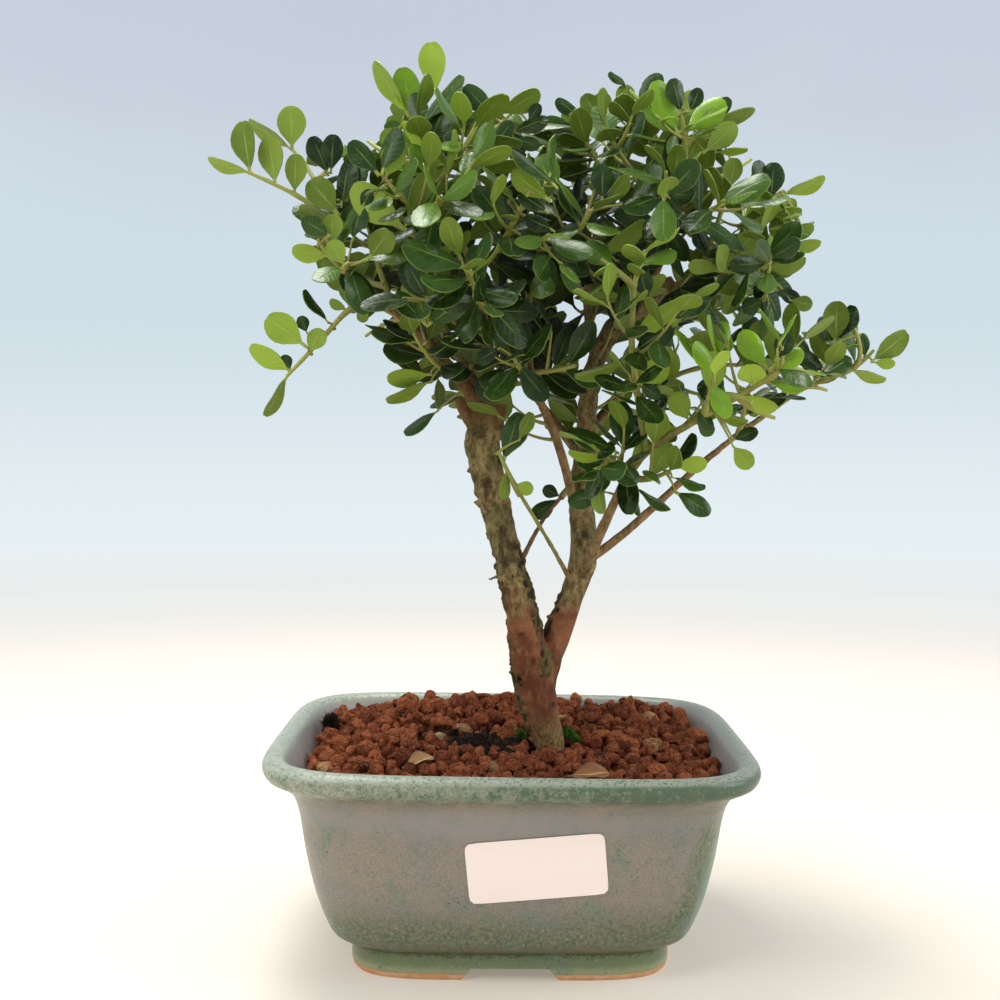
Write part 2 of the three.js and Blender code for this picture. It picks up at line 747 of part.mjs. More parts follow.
function addShoot(skin, base, shoot) {
  const { curve, nodes, forks, tip } = shoot;
  const half = 0.55 / curve.getLength();
  const growths = [
    ...nodes.map(({ place, leaves }) => ({ place, leaves })),
    ...forks.map(({ place, face, shoot: side }) => ({ place, leaves: [], face, side })),
  ].filter(({ leaves, side }) => leaves.length > 0 || side).sort((a, b) => a.place - b.place);
  let last = base;
  const ringAt = (t) => {
    const corners = shootCorners(curve, t, shootTaper(t));
    return addRing(skin, last ? turnedToMatch(skin, last, corners) : corners);
  };
  if (!last) {
    last = ringAt(0);
    addCap(skin, last.slice().reverse());
  }
  for (const { place, leaves, face, side } of growths) {
    const low = ringAt(place - half);
    addWalls(skin, last, low);
    last = low;
    const high = ringAt(place + half);
    const grown = leaves.map((leaf) => ({ leaf, face: leaf.face }));
    if (side) grown.push({ side, face });
    const open = grown.map((growth) => nearestFace(skin, low, high, curve, place, growth.face));
    addWalls(skin, low, high, open);
    grown.forEach((growth, i) => {
      const s = open[i];
      const e = (s + 1) % 4;
      const quad = [low[s], low[e], high[e], high[s]];
      if (growth.leaf) addLeaf(skin, quad, growth.leaf.pose);
      else addShoot(skin, quad, growth.side);
    });
    last = high;
  }
  const end = ringAt(1);
  addWalls(skin, last, end);
  if (tip) addLeaf(skin, end, tip.pose);
  else addCap(skin, end);
}

// The side of a ring pair that looks towards the wanted quarter of the shoot's frame
function nearestFace(skin, low, high, curve, place, face) {
  const frame = shootFrame(curve, place);
  const outward = aroundFrame(frame, (face + 1) * quarter);
  const facing = [0, 1, 2, 3].map((s) => {
    const e = (s + 1) % 4;
    const middle = new THREE.Vector3();
    for (const i of [low[s], low[e], high[e], high[s]]) middle.add(skin.points[i]);
    return middle.divideScalar(4).sub(frame.centre).dot(outward);
  });
  return facing.indexOf(Math.max(...facing));
}

const shootsBySpray = sprays.map(growSpray);
const allShoots = shootsBySpray.flatMap((main) => [main, ...main.forks.map((fork) => fork.shoot)]);
for (const { curve } of allShoots) {
  const steps = Math.ceil(curve.getLength() / 2.5);
  for (let i = 0; i <= steps; i += 1) taken.push({ point: curve.getPointAt(i / steps), reach: stemReach });
}
shootsBySpray.forEach(leafOut);

function makeSpray(main) {
  const skin = { points: [], faces: [] };
  addShoot(skin, null, main);
  return solidFromFaces(skin.points, skin.faces);
}

// Small things on the soil
function tuft(x, y, radius, height, seed) {
  const geometry = mergeVertices(bareSphere(radius, height), 1e-4);
  const position = geometry.attributes.position;
  for (let i = 0; i < position.count; i += 1) {
    const grow = 0.8 + 0.4 * noise(i, seed);
    position.setXYZ(i, position.getX(i) * grow, position.getY(i) * grow, position.getZ(i) * grow);
  }
  geometry.translate(x, y, soilLevel(x, y) + 0.6);
  return geometry;
}

function bareSphere(radius, height) {
  const geometry = new THREE.IcosahedronGeometry(1, 0);
  geometry.deleteAttribute('normal');
  geometry.deleteAttribute('uv');
  return geometry.scale(radius, radius * 0.8, height);
}

// A copy a little larger about its own middle, to be cut from what the piece sits in
function pocket(geometry) {
  const copy = geometry.clone();
  copy.computeBoundingBox();
  const centre = copy.boundingBox.getCenter(new THREE.Vector3());
  const size = copy.boundingBox.getSize(new THREE.Vector3());
  const scale = size.clone().addScalar(2 * (gap + 0.15)).divide(size);
  copy.translate(-centre.x, -centre.y, -centre.z);
  copy.scale(scale.x, scale.y, scale.z);
  copy.translate(centre.x, centre.y, centre.z);
  return solidOf(copy);
}

const tufts = {
  moss_left: tuft(1, 10, 4, 3, 1),
  moss_right: tuft(18.5, 11, 3.4, 2.6, 2),
  peat_plug: tuft(-57.5, 23, 3, 6, 3),
};
const tuftMaterials = { moss_left: 'moss', moss_right: 'moss', peat_plug: 'peat' };

// Dry leaves that lie on the granules. sink is how far each one comes down between their tops.
const dryLeaves = {
  dry_leaf_left: { x: -31, y: -25, turn: 0.6, length: 10, tilt: 0.28, sink: 1.2 },
  dry_leaf_right: { x: 16, y: -36, turn: 0.12, length: 12, tilt: 0.1, sink: 1.85 },
};

function makeDryLeaf({ x, y, turn, length, tilt, sink }) {
  const direction = new THREE.Vector3(Math.cos(turn), Math.sin(turn), tilt).normalize();
  const side = new THREE.Vector3(-Math.sin(turn), Math.cos(turn), 0);
  const facing = new THREE.Vector3().crossVectors(direction, side);
  const pose = { root: new THREE.Vector3(x, y, 0), direction, facing, side, length };
  let lift = 0;
  for (const p of bladeSamples(pose)) {
    lift = Math.max(lift, soilLevel(p.x, p.y) + granuleHeight - p.z);
  }
  pose.root.z = lift + bladeThickness / 2 + gap - sink;
  const skin = { points: [], faces: [] };
  const half = bladeThickness / 2;
  const stalk = [[0.12, -half], [0.12, half], [-0.12, half], [-0.12, -half]];
  const base = addRing(skin, stalk.map(([across, rise]) => bladePoint(pose, 0, across, rise)));
  addCap(skin, base.slice().reverse());
  addLeaf(skin, base, pose);
  return solidFromFaces(skin.points, skin.faces);
}

// Label: a thin card that follows the front of the pot, turned a little
const labelCentre = { x: 6.8, z: 35.8 };
const labelTurn = THREE.MathUtils.degToRad(5.2);

function outerHalfWidth(z) {
  const i = outerProfile.findIndex(([height]) => height > z) - 1;
  const [z0, w0] = outerProfile[i];
  const [z1, w1] = outerProfile[i + 1];
  return w0 + ((z - z0) / (z1 - z0)) * (w1 - w0);
}

function frontOfPot(x, z) {
  const halfWidth = outerHalfWidth(z);
  const halfDepth = halfWidth - rimToDepth;
  return -halfDepth * (1 - Math.abs(x / halfWidth) ** cornerPower) ** (1 / cornerPower);
}

function makeLabel() {
  const cols = 2;
  const trim = 1.6; // size of the cut corners
  const half = labelHeight / 2;
  const levels = [-half, trim - half, 0, half - trim, half];
  const rows = levels.length - 1;
  const points = [];
  for (const layer of [gap + 0.05, gap + labelThickness]) {
    levels.forEach((v, r) => {
      const inset = r === 0 || r === rows ? trim : 0;
      for (let c = 0; c <= cols; c += 1) {
        const u = (c / cols - 0.5) * (labelWidth - 2 * inset);
        const x = labelCentre.x + u * Math.cos(labelTurn) - v * Math.sin(labelTurn);
        const z = labelCentre.z + u * Math.sin(labelTurn) + v * Math.cos(labelTurn);
        points.push(new THREE.Vector3(x, frontOfPot(x, z) - layer, z));
      }
    });
  }
  const across = cols + 1;
  const size = points.length / 2;
  const faces = [];
  for (let r = 0; r < rows; r += 1) {
    for (let c = 0; c < cols; c += 1) {
      const a = r * across + c;
      const b = a + across;
      faces.push([a, b + 1, a + 1], [a, b, b + 1]);
      faces.push([a + size, a + 1 + size, b + 1 + size], [a + size, b + 1 + size, b + size]);
    }
  }
  const edge = [];
  for (let c = 0; c < cols; c += 1) edge.push(c);
  for (let r = 0; r < rows; r += 1) edge.push(r * across + cols);
  for (let c = cols; c > 0; c -= 1) edge.push(rows * across + c);
  for (let r = rows; r > 0; r -= 1) edge.push(r * across);
  edge.forEach((a, i) => {
    const b = edge[(i + 1) % edge.length];
    faces.push([a, b, b + size], [a, b + size, a + size]);
  });
  return solidFromFaces(points, faces);
}

// Assembly
const bonsai = new THREE.Group();
bonsai.position.set(placeX, placeY, 0);

function place(name, solid, material) {
  const mesh = new THREE.Mesh(geometryOf(solid), materials[material]);
  mesh.name = name;
  bonsai.add(mesh);
}

place('pot', makePot(), 'glaze');
place('drain_mesh_left', makeDrainMesh(-drainX), 'mesh');
place('drain_mesh_right', makeDrainMesh(drainX), 'mesh');

const meshSpace = meshHalf + gap;
const meshPockets = [-drainX, drainX].map((x) => (
  box([x - meshSpace, -meshSpace, 0], [x + meshSpace, meshSpace, floorTop + meshThickness + 2 * gap])));
const tuftPockets = Object.values(tufts).map(pocket);
place('soil', makeSoil([makeRootHole(), ...meshPockets, ...tuftPockets]), 'soil');

place('trunk', makeTrunk(), 'bark');
for (const [name, geometry] of Object.entries(tufts)) place(name, solidOf(geometry), tuftMaterials[name]);
for (const [name, leaf] of Object.entries(dryLeaves)) place(name, makeDryLeaf(leaf), 'dryLeaf');
place('blank_label', makeLabel(), 'paper');

const onLimb = {};
shootsBySpray.forEach((shoots, i) => {
  const limbName = sprays[i][0];
  onLimb[limbName] = (onLimb[limbName] ?? 0) + 1;
  const words = limbName.replace(/[A-Z]/g, (letter) => `_${letter.toLowerCase()}`);
  place(`spray_${words}_${onLimb[limbName]}`, makeSpray(shoots), 'foliage');
});

export default bonsai;
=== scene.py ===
# Japanese holly bonsai in its glazed pot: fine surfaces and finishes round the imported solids.
# Shapes are worked out in millimetres from the pot's centre and moved into the frame at the end.
import math
import bpy
import numpy as np
from mathutils import Matrix, Vector


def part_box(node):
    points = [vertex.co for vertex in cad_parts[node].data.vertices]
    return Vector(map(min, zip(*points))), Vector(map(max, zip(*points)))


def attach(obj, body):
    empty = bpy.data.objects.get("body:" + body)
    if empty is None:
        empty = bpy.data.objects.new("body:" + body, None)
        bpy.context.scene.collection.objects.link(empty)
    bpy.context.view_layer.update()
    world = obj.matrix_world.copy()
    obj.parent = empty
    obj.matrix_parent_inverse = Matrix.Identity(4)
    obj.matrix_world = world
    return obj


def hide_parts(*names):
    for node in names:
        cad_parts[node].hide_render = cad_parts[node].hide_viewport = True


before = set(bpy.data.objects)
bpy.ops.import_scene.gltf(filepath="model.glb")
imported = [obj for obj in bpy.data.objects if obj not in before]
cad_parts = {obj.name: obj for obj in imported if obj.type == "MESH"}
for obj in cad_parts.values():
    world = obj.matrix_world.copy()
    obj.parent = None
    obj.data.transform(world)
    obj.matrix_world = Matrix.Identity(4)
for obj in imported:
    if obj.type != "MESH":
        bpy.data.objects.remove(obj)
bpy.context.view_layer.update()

potLow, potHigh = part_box("pot")
potCentre = np.array([(potLow.x + potHigh.x) / 2, (potLow.y + potHigh.y) / 2, 0.0])  # metres
up = np.array([0.0, 0.0, 1.0])


def toFrame(points):
    return np.asarray(points, float) / 1000 + potCentre


def unit(vectors):
    return vectors / np.maximum(np.linalg.norm(vectors, axis=-1, keepdims=True), 1e-9)


def turns(count):
    # angles spread evenly round a circle
    return np.arange(count) * 2 * np.pi / count


def rounds(radius, angle, height):
    # points at each radius and angle round the pot's axis
    return np.stack(np.broadcast_arrays(
        radius * np.cos(angle), radius * np.sin(angle), height), -1)


def smoothStep(low, high, x):
    t = np.clip((x - low) / (high - low), 0, 1)
    return t * t * (3 - 2 * t)


# Camera and light

view = {
    "place": (-3.6, -404.0, 150.0),  # mm from the pot's centre
    "pitchDown": 2.5,  # degrees
    "roll": 0.33,
    "focalPixels": 1340.0,  # in a frame 1000 pixels wide
    "sensor": 36.0,
}

lights = {
    "keyLight": {"place": (-520, -560, 820), "aim": (0, 0, 150), "size": 0.5, "watts": 4.7,
                 "color": (1.0, 0.98, 0.94)},
    "topLight": {"place": (-140, 160, 1050), "aim": (0, 0, 150), "size": 0.5, "watts": 12.0,
                 "color": (1.0, 0.99, 0.97)},
    "rightLight": {"place": (760, -160, 520), "aim": (0, 0, 140), "size": 0.5, "watts": 3.8,
                   "color": (0.96, 0.98, 1.0)},
}
air = {"Color": (0.94, 0.97, 1.0, 1), "Strength": 0.4}


def sightPoint(px, py, y):
    # the point at depth y that the camera sees at pixel (px, py) of a 1000 pixel frame
    pitch, roll = math.radians(view["pitchDown"]), math.radians(view["roll"])
    u, v = (px - 500) / view["focalPixels"], (py - 500) / view["focalPixels"]
    u, v = u * math.cos(roll) + v * math.sin(roll), v * math.cos(roll) - u * math.sin(roll)
    ray = np.array([u, math.cos(pitch) - v * math.sin(pitch),
                    -math.sin(pitch) - v * math.cos(pitch)])
    eye = np.array(view["place"])
    return eye + ray * (y - eye[1]) / ray[1]


def onPicture(points):
    # the pixel at which the camera sees each point
    pitch, roll = math.radians(view["pitchDown"]), math.radians(view["roll"])
    x, y, z = np.moveaxis(np.atleast_2d(points) - view["place"], -1, 0)
    ahead = y * math.cos(pitch) - z * math.sin(pitch)
    above = z * math.cos(pitch) + y * math.sin(pitch)
    u, v = x / ahead * view["focalPixels"], -above / ahead * view["focalPixels"]
    return np.stack([500 + u * math.cos(roll) - v * math.sin(roll),
                     500 + u * math.sin(roll) + v * math.cos(roll)], -1)


def link(name, data):
    thing = bpy.data.objects.new(name, data)
    bpy.context.scene.collection.objects.link(thing)
    return thing


def makeCamera():
    data = bpy.data.cameras.new("photoCamera")
    data.sensor_width = view["sensor"]
    data.lens = view["focalPixels"] * view["sensor"] / 1000
    data.clip_start = 0.01
    camera = link("photoCamera", data)
    camera.matrix_world = (
        Matrix.Translation(Vector(toFrame(view["place"])))
        @ Matrix.Rotation(math.radians(90 - view["pitchDown"]), 4, "X")
        @ Matrix.Rotation(math.radians(view["roll"]), 4, "Z"))
    bpy.context.scene.camera = camera


def makeLights():
    for name, look in lights.items():
        data = bpy.data.lights.new(name, "AREA")
        data.size = look["size"]
        data.energy = look["watts"]
        data.color = look["color"]
        lamp = link(name, data)
        lamp.location = toFrame(look["place"])
        towards = Vector(toFrame(look["aim"])) - lamp.location
        lamp.rotation_euler = towards.to_track_quat("-Z", "Y").to_euler()
        lamp.visible_camera = False
    world = bpy.data.worlds.new("studioAir")
    world.use_nodes = True
    for socket, value in air.items():
        world.node_tree.nodes["Background"].inputs[socket].default_value = value
    bpy.context.scene.world = world
    bpy.context.scene.view_settings.view_transform = "Standard"


# Shader maths: an expression on wires adds its Math nodes


class Wire:
    def __init__(self, paint, socket):
        self.paint = paint
        self.socket = socket

    def size(self):
        return self.paint.maths("ABSOLUTE", self, 0)

    def clamp(self):
        return self.paint.node("ShaderNodeClamp", {}, {"Value": self})

    def over(self, low, high):
        # 0 below low and 1 above high, eased between, or the other way round if low is greater
        return self.paint.node("ShaderNodeMapRange", {"interpolation_type": "SMOOTHSTEP"},
                               {"Value": self, "From Min": low, "From Max": high})


def overload(sign, operation):
    # the operator on a wire, with the wire first or, for 1 - mask, with the wire last
    setattr(Wire, f"__{sign}__", lambda wire, other: wire.paint.maths(operation, wire, other))
    setattr(Wire, f"__r{sign}__", lambda wire, other: wire.paint.maths(operation, other, wire))


for sign, operation in (("add", "ADD"), ("sub", "SUBTRACT"), ("mul", "MULTIPLY"),
                        ("truediv", "DIVIDE"), ("pow", "POWER")):
    overload(sign, operation)


class Paint:
    def __init__(self, name, roughness=0.5, **constants):
        self.material = bpy.data.materials.new(name)
        self.material.use_nodes = True
        self.tree = self.material.node_tree
        self.shader = self.tree.nodes["Principled BSDF"]
        self.shader.inputs["Roughness"].default_value = roughness
        for socket, value in constants.items():
            self.shader.inputs[socket.replace("_", " ")].default_value = value

    def node(self, kind, settings, inputs, output=0):
        made = self.tree.nodes.new(kind)
        for key, value in settings.items():
            setattr(made, key, value)
        for key, value in inputs.items():
            if isinstance(value, Wire):
                self.tree.links.new(value.socket, made.inputs[key])
            else:
                made.inputs[key].default_value = value
        return Wire(self, made.outputs[output])

    def maths(self, operation, a, b):
        return self.node("ShaderNodeMath", {"operation": operation}, {0: a, 1: b})

    def mix(self, amount, a, b):
        # from colour a to colour b, each a wire or six hexadecimal digits
        colours = {key: value if isinstance(value, Wire) else (*rgb(value), 1)
                   for key, value in ((6, a), (7, b))}
        return self.node("ShaderNodeMix", {"data_type": "RGBA"}, {0: amount, **colours}, 2)

    def millimetres(self):
        # where a point is, in millimetres from the pot's centre
        place = self.node("ShaderNodeTexCoord", {}, {}, "Object")
        moved = self.node("ShaderNodeVectorMath", {"operation": "SUBTRACT"},
                          {0: place, 1: tuple(potCentre)})
        return self.node("ShaderNodeVectorMath", {"operation": "SCALE"},
                         {0: moved, "Scale": 1000.0})

    def parts(self, vector):
        split = self.node("ShaderNodeSeparateXYZ", {}, {0: vector})
        return [Wire(self, output) for output in split.socket.node.outputs]

    def stretched(self, vector, scales):
        return self.node("ShaderNodeVectorMath", {"operation": "MULTIPLY"}, {0: vector, 1: scales})

    def noise(self, vector, size, detail=2.0, roughness=0.5):
        # size is how many millimetres one soft patch measures
        return self.node("ShaderNodeTexNoise", {}, {
            "Vector": vector, "Scale": 1 / size, "Detail": detail, "Roughness": roughness})

    def cells(self, vector, size):
        return self.node("ShaderNodeTexVoronoi", {}, {"Vector": vector, "Scale": 1 / size})

    def fact(self, name):
        # an attribute that the mesh carries at its points
        return self.node("ShaderNodeAttribute", {"attribute_name": name}, {}, "Vector")

    def finish(self, colour, roughness=None, height=None, depth=0.1, coat=None, glow=None):
        # depth is how many millimetres the bump stands up where height goes from 0 to 1
        bump = height and self.node("ShaderNodeBump", {}, {
            "Strength": 1.0, "Distance": depth / 1000, "Height": height})
        for wire, socket in ((colour, "Base Color"), (roughness, "Roughness"),
                             (coat, "Coat Weight"), (bump, "Normal"), (glow, "Emission Color")):
            if wire:
                self.tree.links.new(wire.socket, self.shader.inputs[socket])
        return self.material


def rgb(text):
    # a colour written as six hexadecimal digits, as linear light
    values = [int(text[i:i + 2], 16) / 255 for i in (0, 2, 4)]
    return tuple(v / 12.92 if v <= 0.04045 else ((v + 0.055) / 1.055) ** 2.4 for v in values)


# Meshes


class Skin:
    # gathers points, faces, the facts each point carries, and which finish each face has
    def __init__(self):
        self.points, self.faces, self.place, self.kind, self.paints = [], [], [], [], []
        self.size = 0

    def add(self, points, faces, place=(0, 0, 0), kind=(0, 0, 0), paint=0):
        points = np.asarray(points, float).reshape(-1, 3)
        self.points.append(points)
        self.place.append(np.broadcast_to(np.asarray(place, float), points.shape))
        self.kind.append(np.broadcast_to(np.asarray(kind, float), points.shape))
        for part in faces:
            shifted = (np.asarray(part) + self.size).tolist()
            self.faces.extend(shifted)
            self.paints.extend([paint] * len(shifted))
        self.size += len(points)


def newMesh(name, points, faces):
    mesh = bpy.data.meshes.new(name)
    mesh.from_pydata(toFrame(points).tolist(), [], faces)
    return mesh


def setFact(mesh, label, rows):
    fact = mesh.attributes.new(label, "FLOAT_VECTOR", "POINT")
    fact.data.foreach_set("vector", rows.ravel())


def readPoints(mesh, what="co"):
    values = np.empty(len(mesh.vertices) * 3)
    mesh.vertices.foreach_get(what, values)
    return values.reshape(-1, 3)


def meshAfter(thing):
    # the mesh that a thing has once its modifiers have run
    graph = bpy.context.evaluated_depsgraph_get()
    return bpy.data.meshes.new_from_object(thing.evaluated_get(graph))


def makePiece(name, skin, paints, nodes=(), sharp=None):
    mesh = newMesh(name, np.concatenate(skin.points), skin.faces)
    for paint in paints:
        mesh.materials.append(paint)
    mesh.polygons.foreach_set("material_index", np.array(skin.paints, np.int32))
    mesh.shade_smooth()
    if sharp is not None:
        mesh.set_sharp_from_angle(angle=math.radians(sharp))
    setFact(mesh, "place", np.concatenate(skin.place))
    setFact(mesh, "kind", np.concatenate(skin.kind))
    mesh.update()
    adopt(name, mesh, nodes)


def recoat(mesh, paint):
    mesh.materials.clear()
    mesh.materials.append(paint)
    mesh.shade_smooth()


def adopt(name, mesh, nodes):
    piece = link(name, mesh)
    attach(piece, "root")
    if nodes:
        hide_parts(*nodes)


def gridFaces(rows, cols, wrap=True):
    # the four-cornered faces of a grid of points, whose columns meet again if it wraps
    r = np.arange(rows - 1)[:, None]
    c = np.arange(cols if wrap else cols - 1)[None, :]
    a = r * cols + c
    b = r * cols + (c + 1) % cols
    return np.stack([a, b, b + cols, a + cols], -1).reshape(-1, 4)


def repeatFaces(faces, count, step):
    # the same faces for each of many like shapes, whose points follow each other
    shifts = np.arange(count)[:, None, None] * step
    return (faces[None] + shifts).reshape(-1, faces.shape[-1])


def tubeFaces(rows, cols):
    # a grid that wraps, closed at both ends
    first = np.arange(cols)[None, ::-1]
    last = (rows - 1) * cols + np.arange(cols)[None, :]
    return [gridFaces(rows, cols), first, last]


def tube(centres, radii, sides, ref=None):
    # rings of points round a line: centre + radius * (cos(angle) * side + sin(angle) * other)
    tangents = unit(np.gradient(centres, axis=0))
    if ref is None:
        ref = np.eye(3)[np.argmin(np.abs(tangents).max(0))]
    side = unit(np.cross(tangents, ref))
    other = np.cross(tangents, side)
    angle = turns(sides)[:, None]
    spokes = np.cos(angle) * side[:, None] + np.sin(angle) * other[:, None]
    return centres[:, None] + np.asarray(radii)[:, None, None] * spokes


def softNoise(points, size, seed=0):
    # smooth noise from -1 to 1: each lattice corner has its own value, eased between corners
    p = np.asarray(points, float) / size + seed * 17.31
    cell = np.floor(p).astype(np.int64)
    part = p - cell
    ease = part ** 3 * (part * (part * 6 - 15) + 10)
    total = np.zeros(p.shape[:-1])
    for corner in np.ndindex(2, 2, 2):
        q = cell + corner
        mixed = (q[..., 0] * 73856093) ^ (q[..., 1] * 19349663) ^ (q[..., 2] * 83492791)
        mixed = ((mixed ^ (mixed >> 13)) * 1274126177) & 0xFFFFFFFF
        mixed = ((mixed ^ (mixed >> 15)) * 2246822519) & 0xFFFFFFFF
        weight = np.prod(np.where(np.array(corner) == 1, ease, 1 - ease), axis=-1)
        total += weight * ((mixed & 0xFFFF) / 32767.5 - 1)
    return total


# Lines in space


class Path:
    # a line measured along its length, from 0 at its start to 1 at its end
    def __init__(self, pointAt):
        self.pointAt = pointAt
        self.t = np.linspace(0, 1, 201)
        steps = np.linalg.norm(np.diff(pointAt(self.t), axis=0), axis=1)
        self.lengths = np.concatenate([[0], np.cumsum(steps)])
        self.length = self.lengths[-1]

    def share(self, u):
        return np.interp(np.atleast_1d(u) * self.length, self.lengths, self.t)

    def at(self, u):
        return self.pointAt(self.share(u))

    def tangent(self, u):
        t = self.share(u)
        ahead = self.pointAt(np.minimum(t + 1e-4, 1))
        behind = self.pointAt(np.maximum(t - 1e-4, 0))
        return unit(ahead - behind)


def throughPoints(points):
    # a smooth line through points: a cubic between each two, whose slopes allow for the
    # square roots of the distances to the points before and after
    p = np.array(points, float)
    held = np.vstack([2 * p[0] - p[1], p, 2 * p[-1] - p[-2]])

    def pointAt(t):
        along = np.clip(np.atleast_1d(t), 0, 1) * (len(p) - 1)
        i = np.minimum(np.floor(along).astype(int), len(p) - 2)
        w = (along - i)[:, None]
        p0, p1, p2, p3 = (held[i + k] for k in range(4))
        d0, d1, d2 = (np.linalg.norm(b - a, axis=1, keepdims=True) ** 0.5
                      for a, b in ((p0, p1), (p1, p2), (p2, p3)))
        s1 = ((p1 - p0) / d0 - (p2 - p0) / (d0 + d1) + (p2 - p1) / d1) * d1
        s2 = ((p2 - p1) / d1 - (p3 - p1) / (d1 + d2) + (p3 - p2) / d2) * d1
        return (p1 + s1 * w + (-3 * p1 + 3 * p2 - 2 * s1 - s2) * w ** 2
                + (2 * p1 - 2 * p2 + s1 + s2) * w ** 3)

    return Path(pointAt)


def bentLine(start, middle, end):
    # start (1 - t)^2 + middle 2 t (1 - t) + end t^2
    def pointAt(t):
        t = np.atleast_1d(t)[:, None]
        return start * (1 - t) ** 2 + middle * 2 * t * (1 - t) + end * t ** 2

    return Path(pointAt)


# Pot

pot = {
    "rimToDepth": 8.75,  # how much less the pot measures from centre to front than to side
    "power": 5.2,  # of the superellipse that rounds the corners
    "around": 320,
    "footGapHeight": 3.5,
    "footGapHalf": 13.5,
    "sideFootGapHalf": 11.0,
    "footSlope": 2.5,
    "floorTop": 9.5,
    "drainX": 23.0,
    "drainRadius": 5.0,
    "roundBelow": 20,  # mm of half width, below which a ring keeps its shape
    "sharpFrom": 40,  # degrees
    "rimLean": 0.0105,  # the rim was fired a little out of level: this much fall to the right
    # height and half width, from the foot up to the crest
    "outer": [(0, 45.4), (0.5, 45.9), (1.6, 46.2), (7.0, 46.4), (8.6, 48.2), (11, 51.5), (16, 53.9),
              (22, 55.9), (28, 57.4), (34.5, 58.7), (41, 59.7), (46, 60.5), (50, 61.6), (53, 63.3),
              (55.2, 66.2), (57, 68.9), (58.6, 69.8), (60.2, 70), (61.6, 69.2), (62.4, 67.8)],
    "inner": [(62.5, 66.9), (62.1, 65.4), (60.6, 64), (57.5, 62.6), (52, 60.6), (42, 57.6),
              (32, 54.6), (22, 51.8), (14, 49), (11, 47), (9.7, 44.5)],
}


def halfWidths(rows, z):
    heights, widths = np.array(sorted(rows)).T
    return np.interp(z, heights, widths)


def potRadius(angle, halfWidth):
    # distance from the axis to the superellipse |x/a|^n + |y/b|^n = 1 in each direction
    halfDepth = halfWidth - pot["rimToDepth"]
    n = pot["power"]
    return ((np.abs(np.cos(angle)) / halfWidth) ** n
            + (np.abs(np.sin(angle)) / halfDepth) ** n) ** (-1 / n)


def footGap(x, y):
    # height of the sloped channels that run under the pot both ways
    across = np.clip((pot["footGapHalf"] - np.abs(x)) / pot["footSlope"], 0, 1)
    along = np.clip((pot["sideFootGapHalf"] - np.abs(y)) / pot["footSlope"], 0, 1)
    return pot["footGapHeight"] * np.maximum(across, along)


def makePotMesh():
    # the profile (height, half width) carried round the superellipse, then down to the centre
    outer = throughPoints([(z, w, 0) for z, w in pot["outer"]]).at(np.linspace(0, 1, 84))
    inner = throughPoints([(z, w, 0) for z, w in pot["inner"]]).at(np.linspace(0, 1, 40))
    under = [(0, outer[0, 1] * k, 0) for k in np.linspace(0.02, 0.99, 26)]
    inside = [(pot["floorTop"], inner[-1, 1] * k, 0) for k in np.linspace(0.985, 0.02, 14)]
    rows = np.vstack([under, outer, inner, inside])
    z, halfWidth = rows[:, 0][:, None], rows[:, 1][:, None]
    angle = (np.arange(pot["around"]) + 0.5) * 2 * np.pi / pot["around"]
    full = np.maximum(halfWidth, pot["roundBelow"])
    radius = potRadius(angle[None], full) * halfWidth / full
    x, y = radius * np.cos(angle), radius * np.sin(angle)
    lower = np.arange(len(rows))[:, None] < len(under) + len(outer)
    gapHere = np.where(lower, footGap(x, y), 0)
    height = np.maximum(z, gapHere)
    height = height - pot["rimLean"] * x * np.clip(height / 62, 0, 1) ** 2
    skin = Skin()
    skin.add(np.stack([x, y, height], -1), tubeFaces(len(rows), pot["around"]))
    return skin


def makeRod(x, radius, low, high, sides=40):
    centres = np.array([[x, 0, low], [x, 0, high]], float)
    skin = Skin()
    skin.add(tube(centres, [radius, radius], sides), tubeFaces(2, sides))
    return skin


def cutAway(piece, cutter):
    # takes the cutter out of the piece and keeps the result as the piece's own mesh
    cut = piece.modifiers.new("cut", "BOOLEAN")
    cut.operation = "DIFFERENCE"
    cut.solver = "EXACT"
    cut.object = cutter
    result = meshAfter(piece)
    piece.modifiers.clear()
    piece.data = result
    bpy.data.objects.remove(cutter)


def bareObject(name, skin):
    return link(name, newMesh(name, np.concatenate(skin.points), skin.faces))


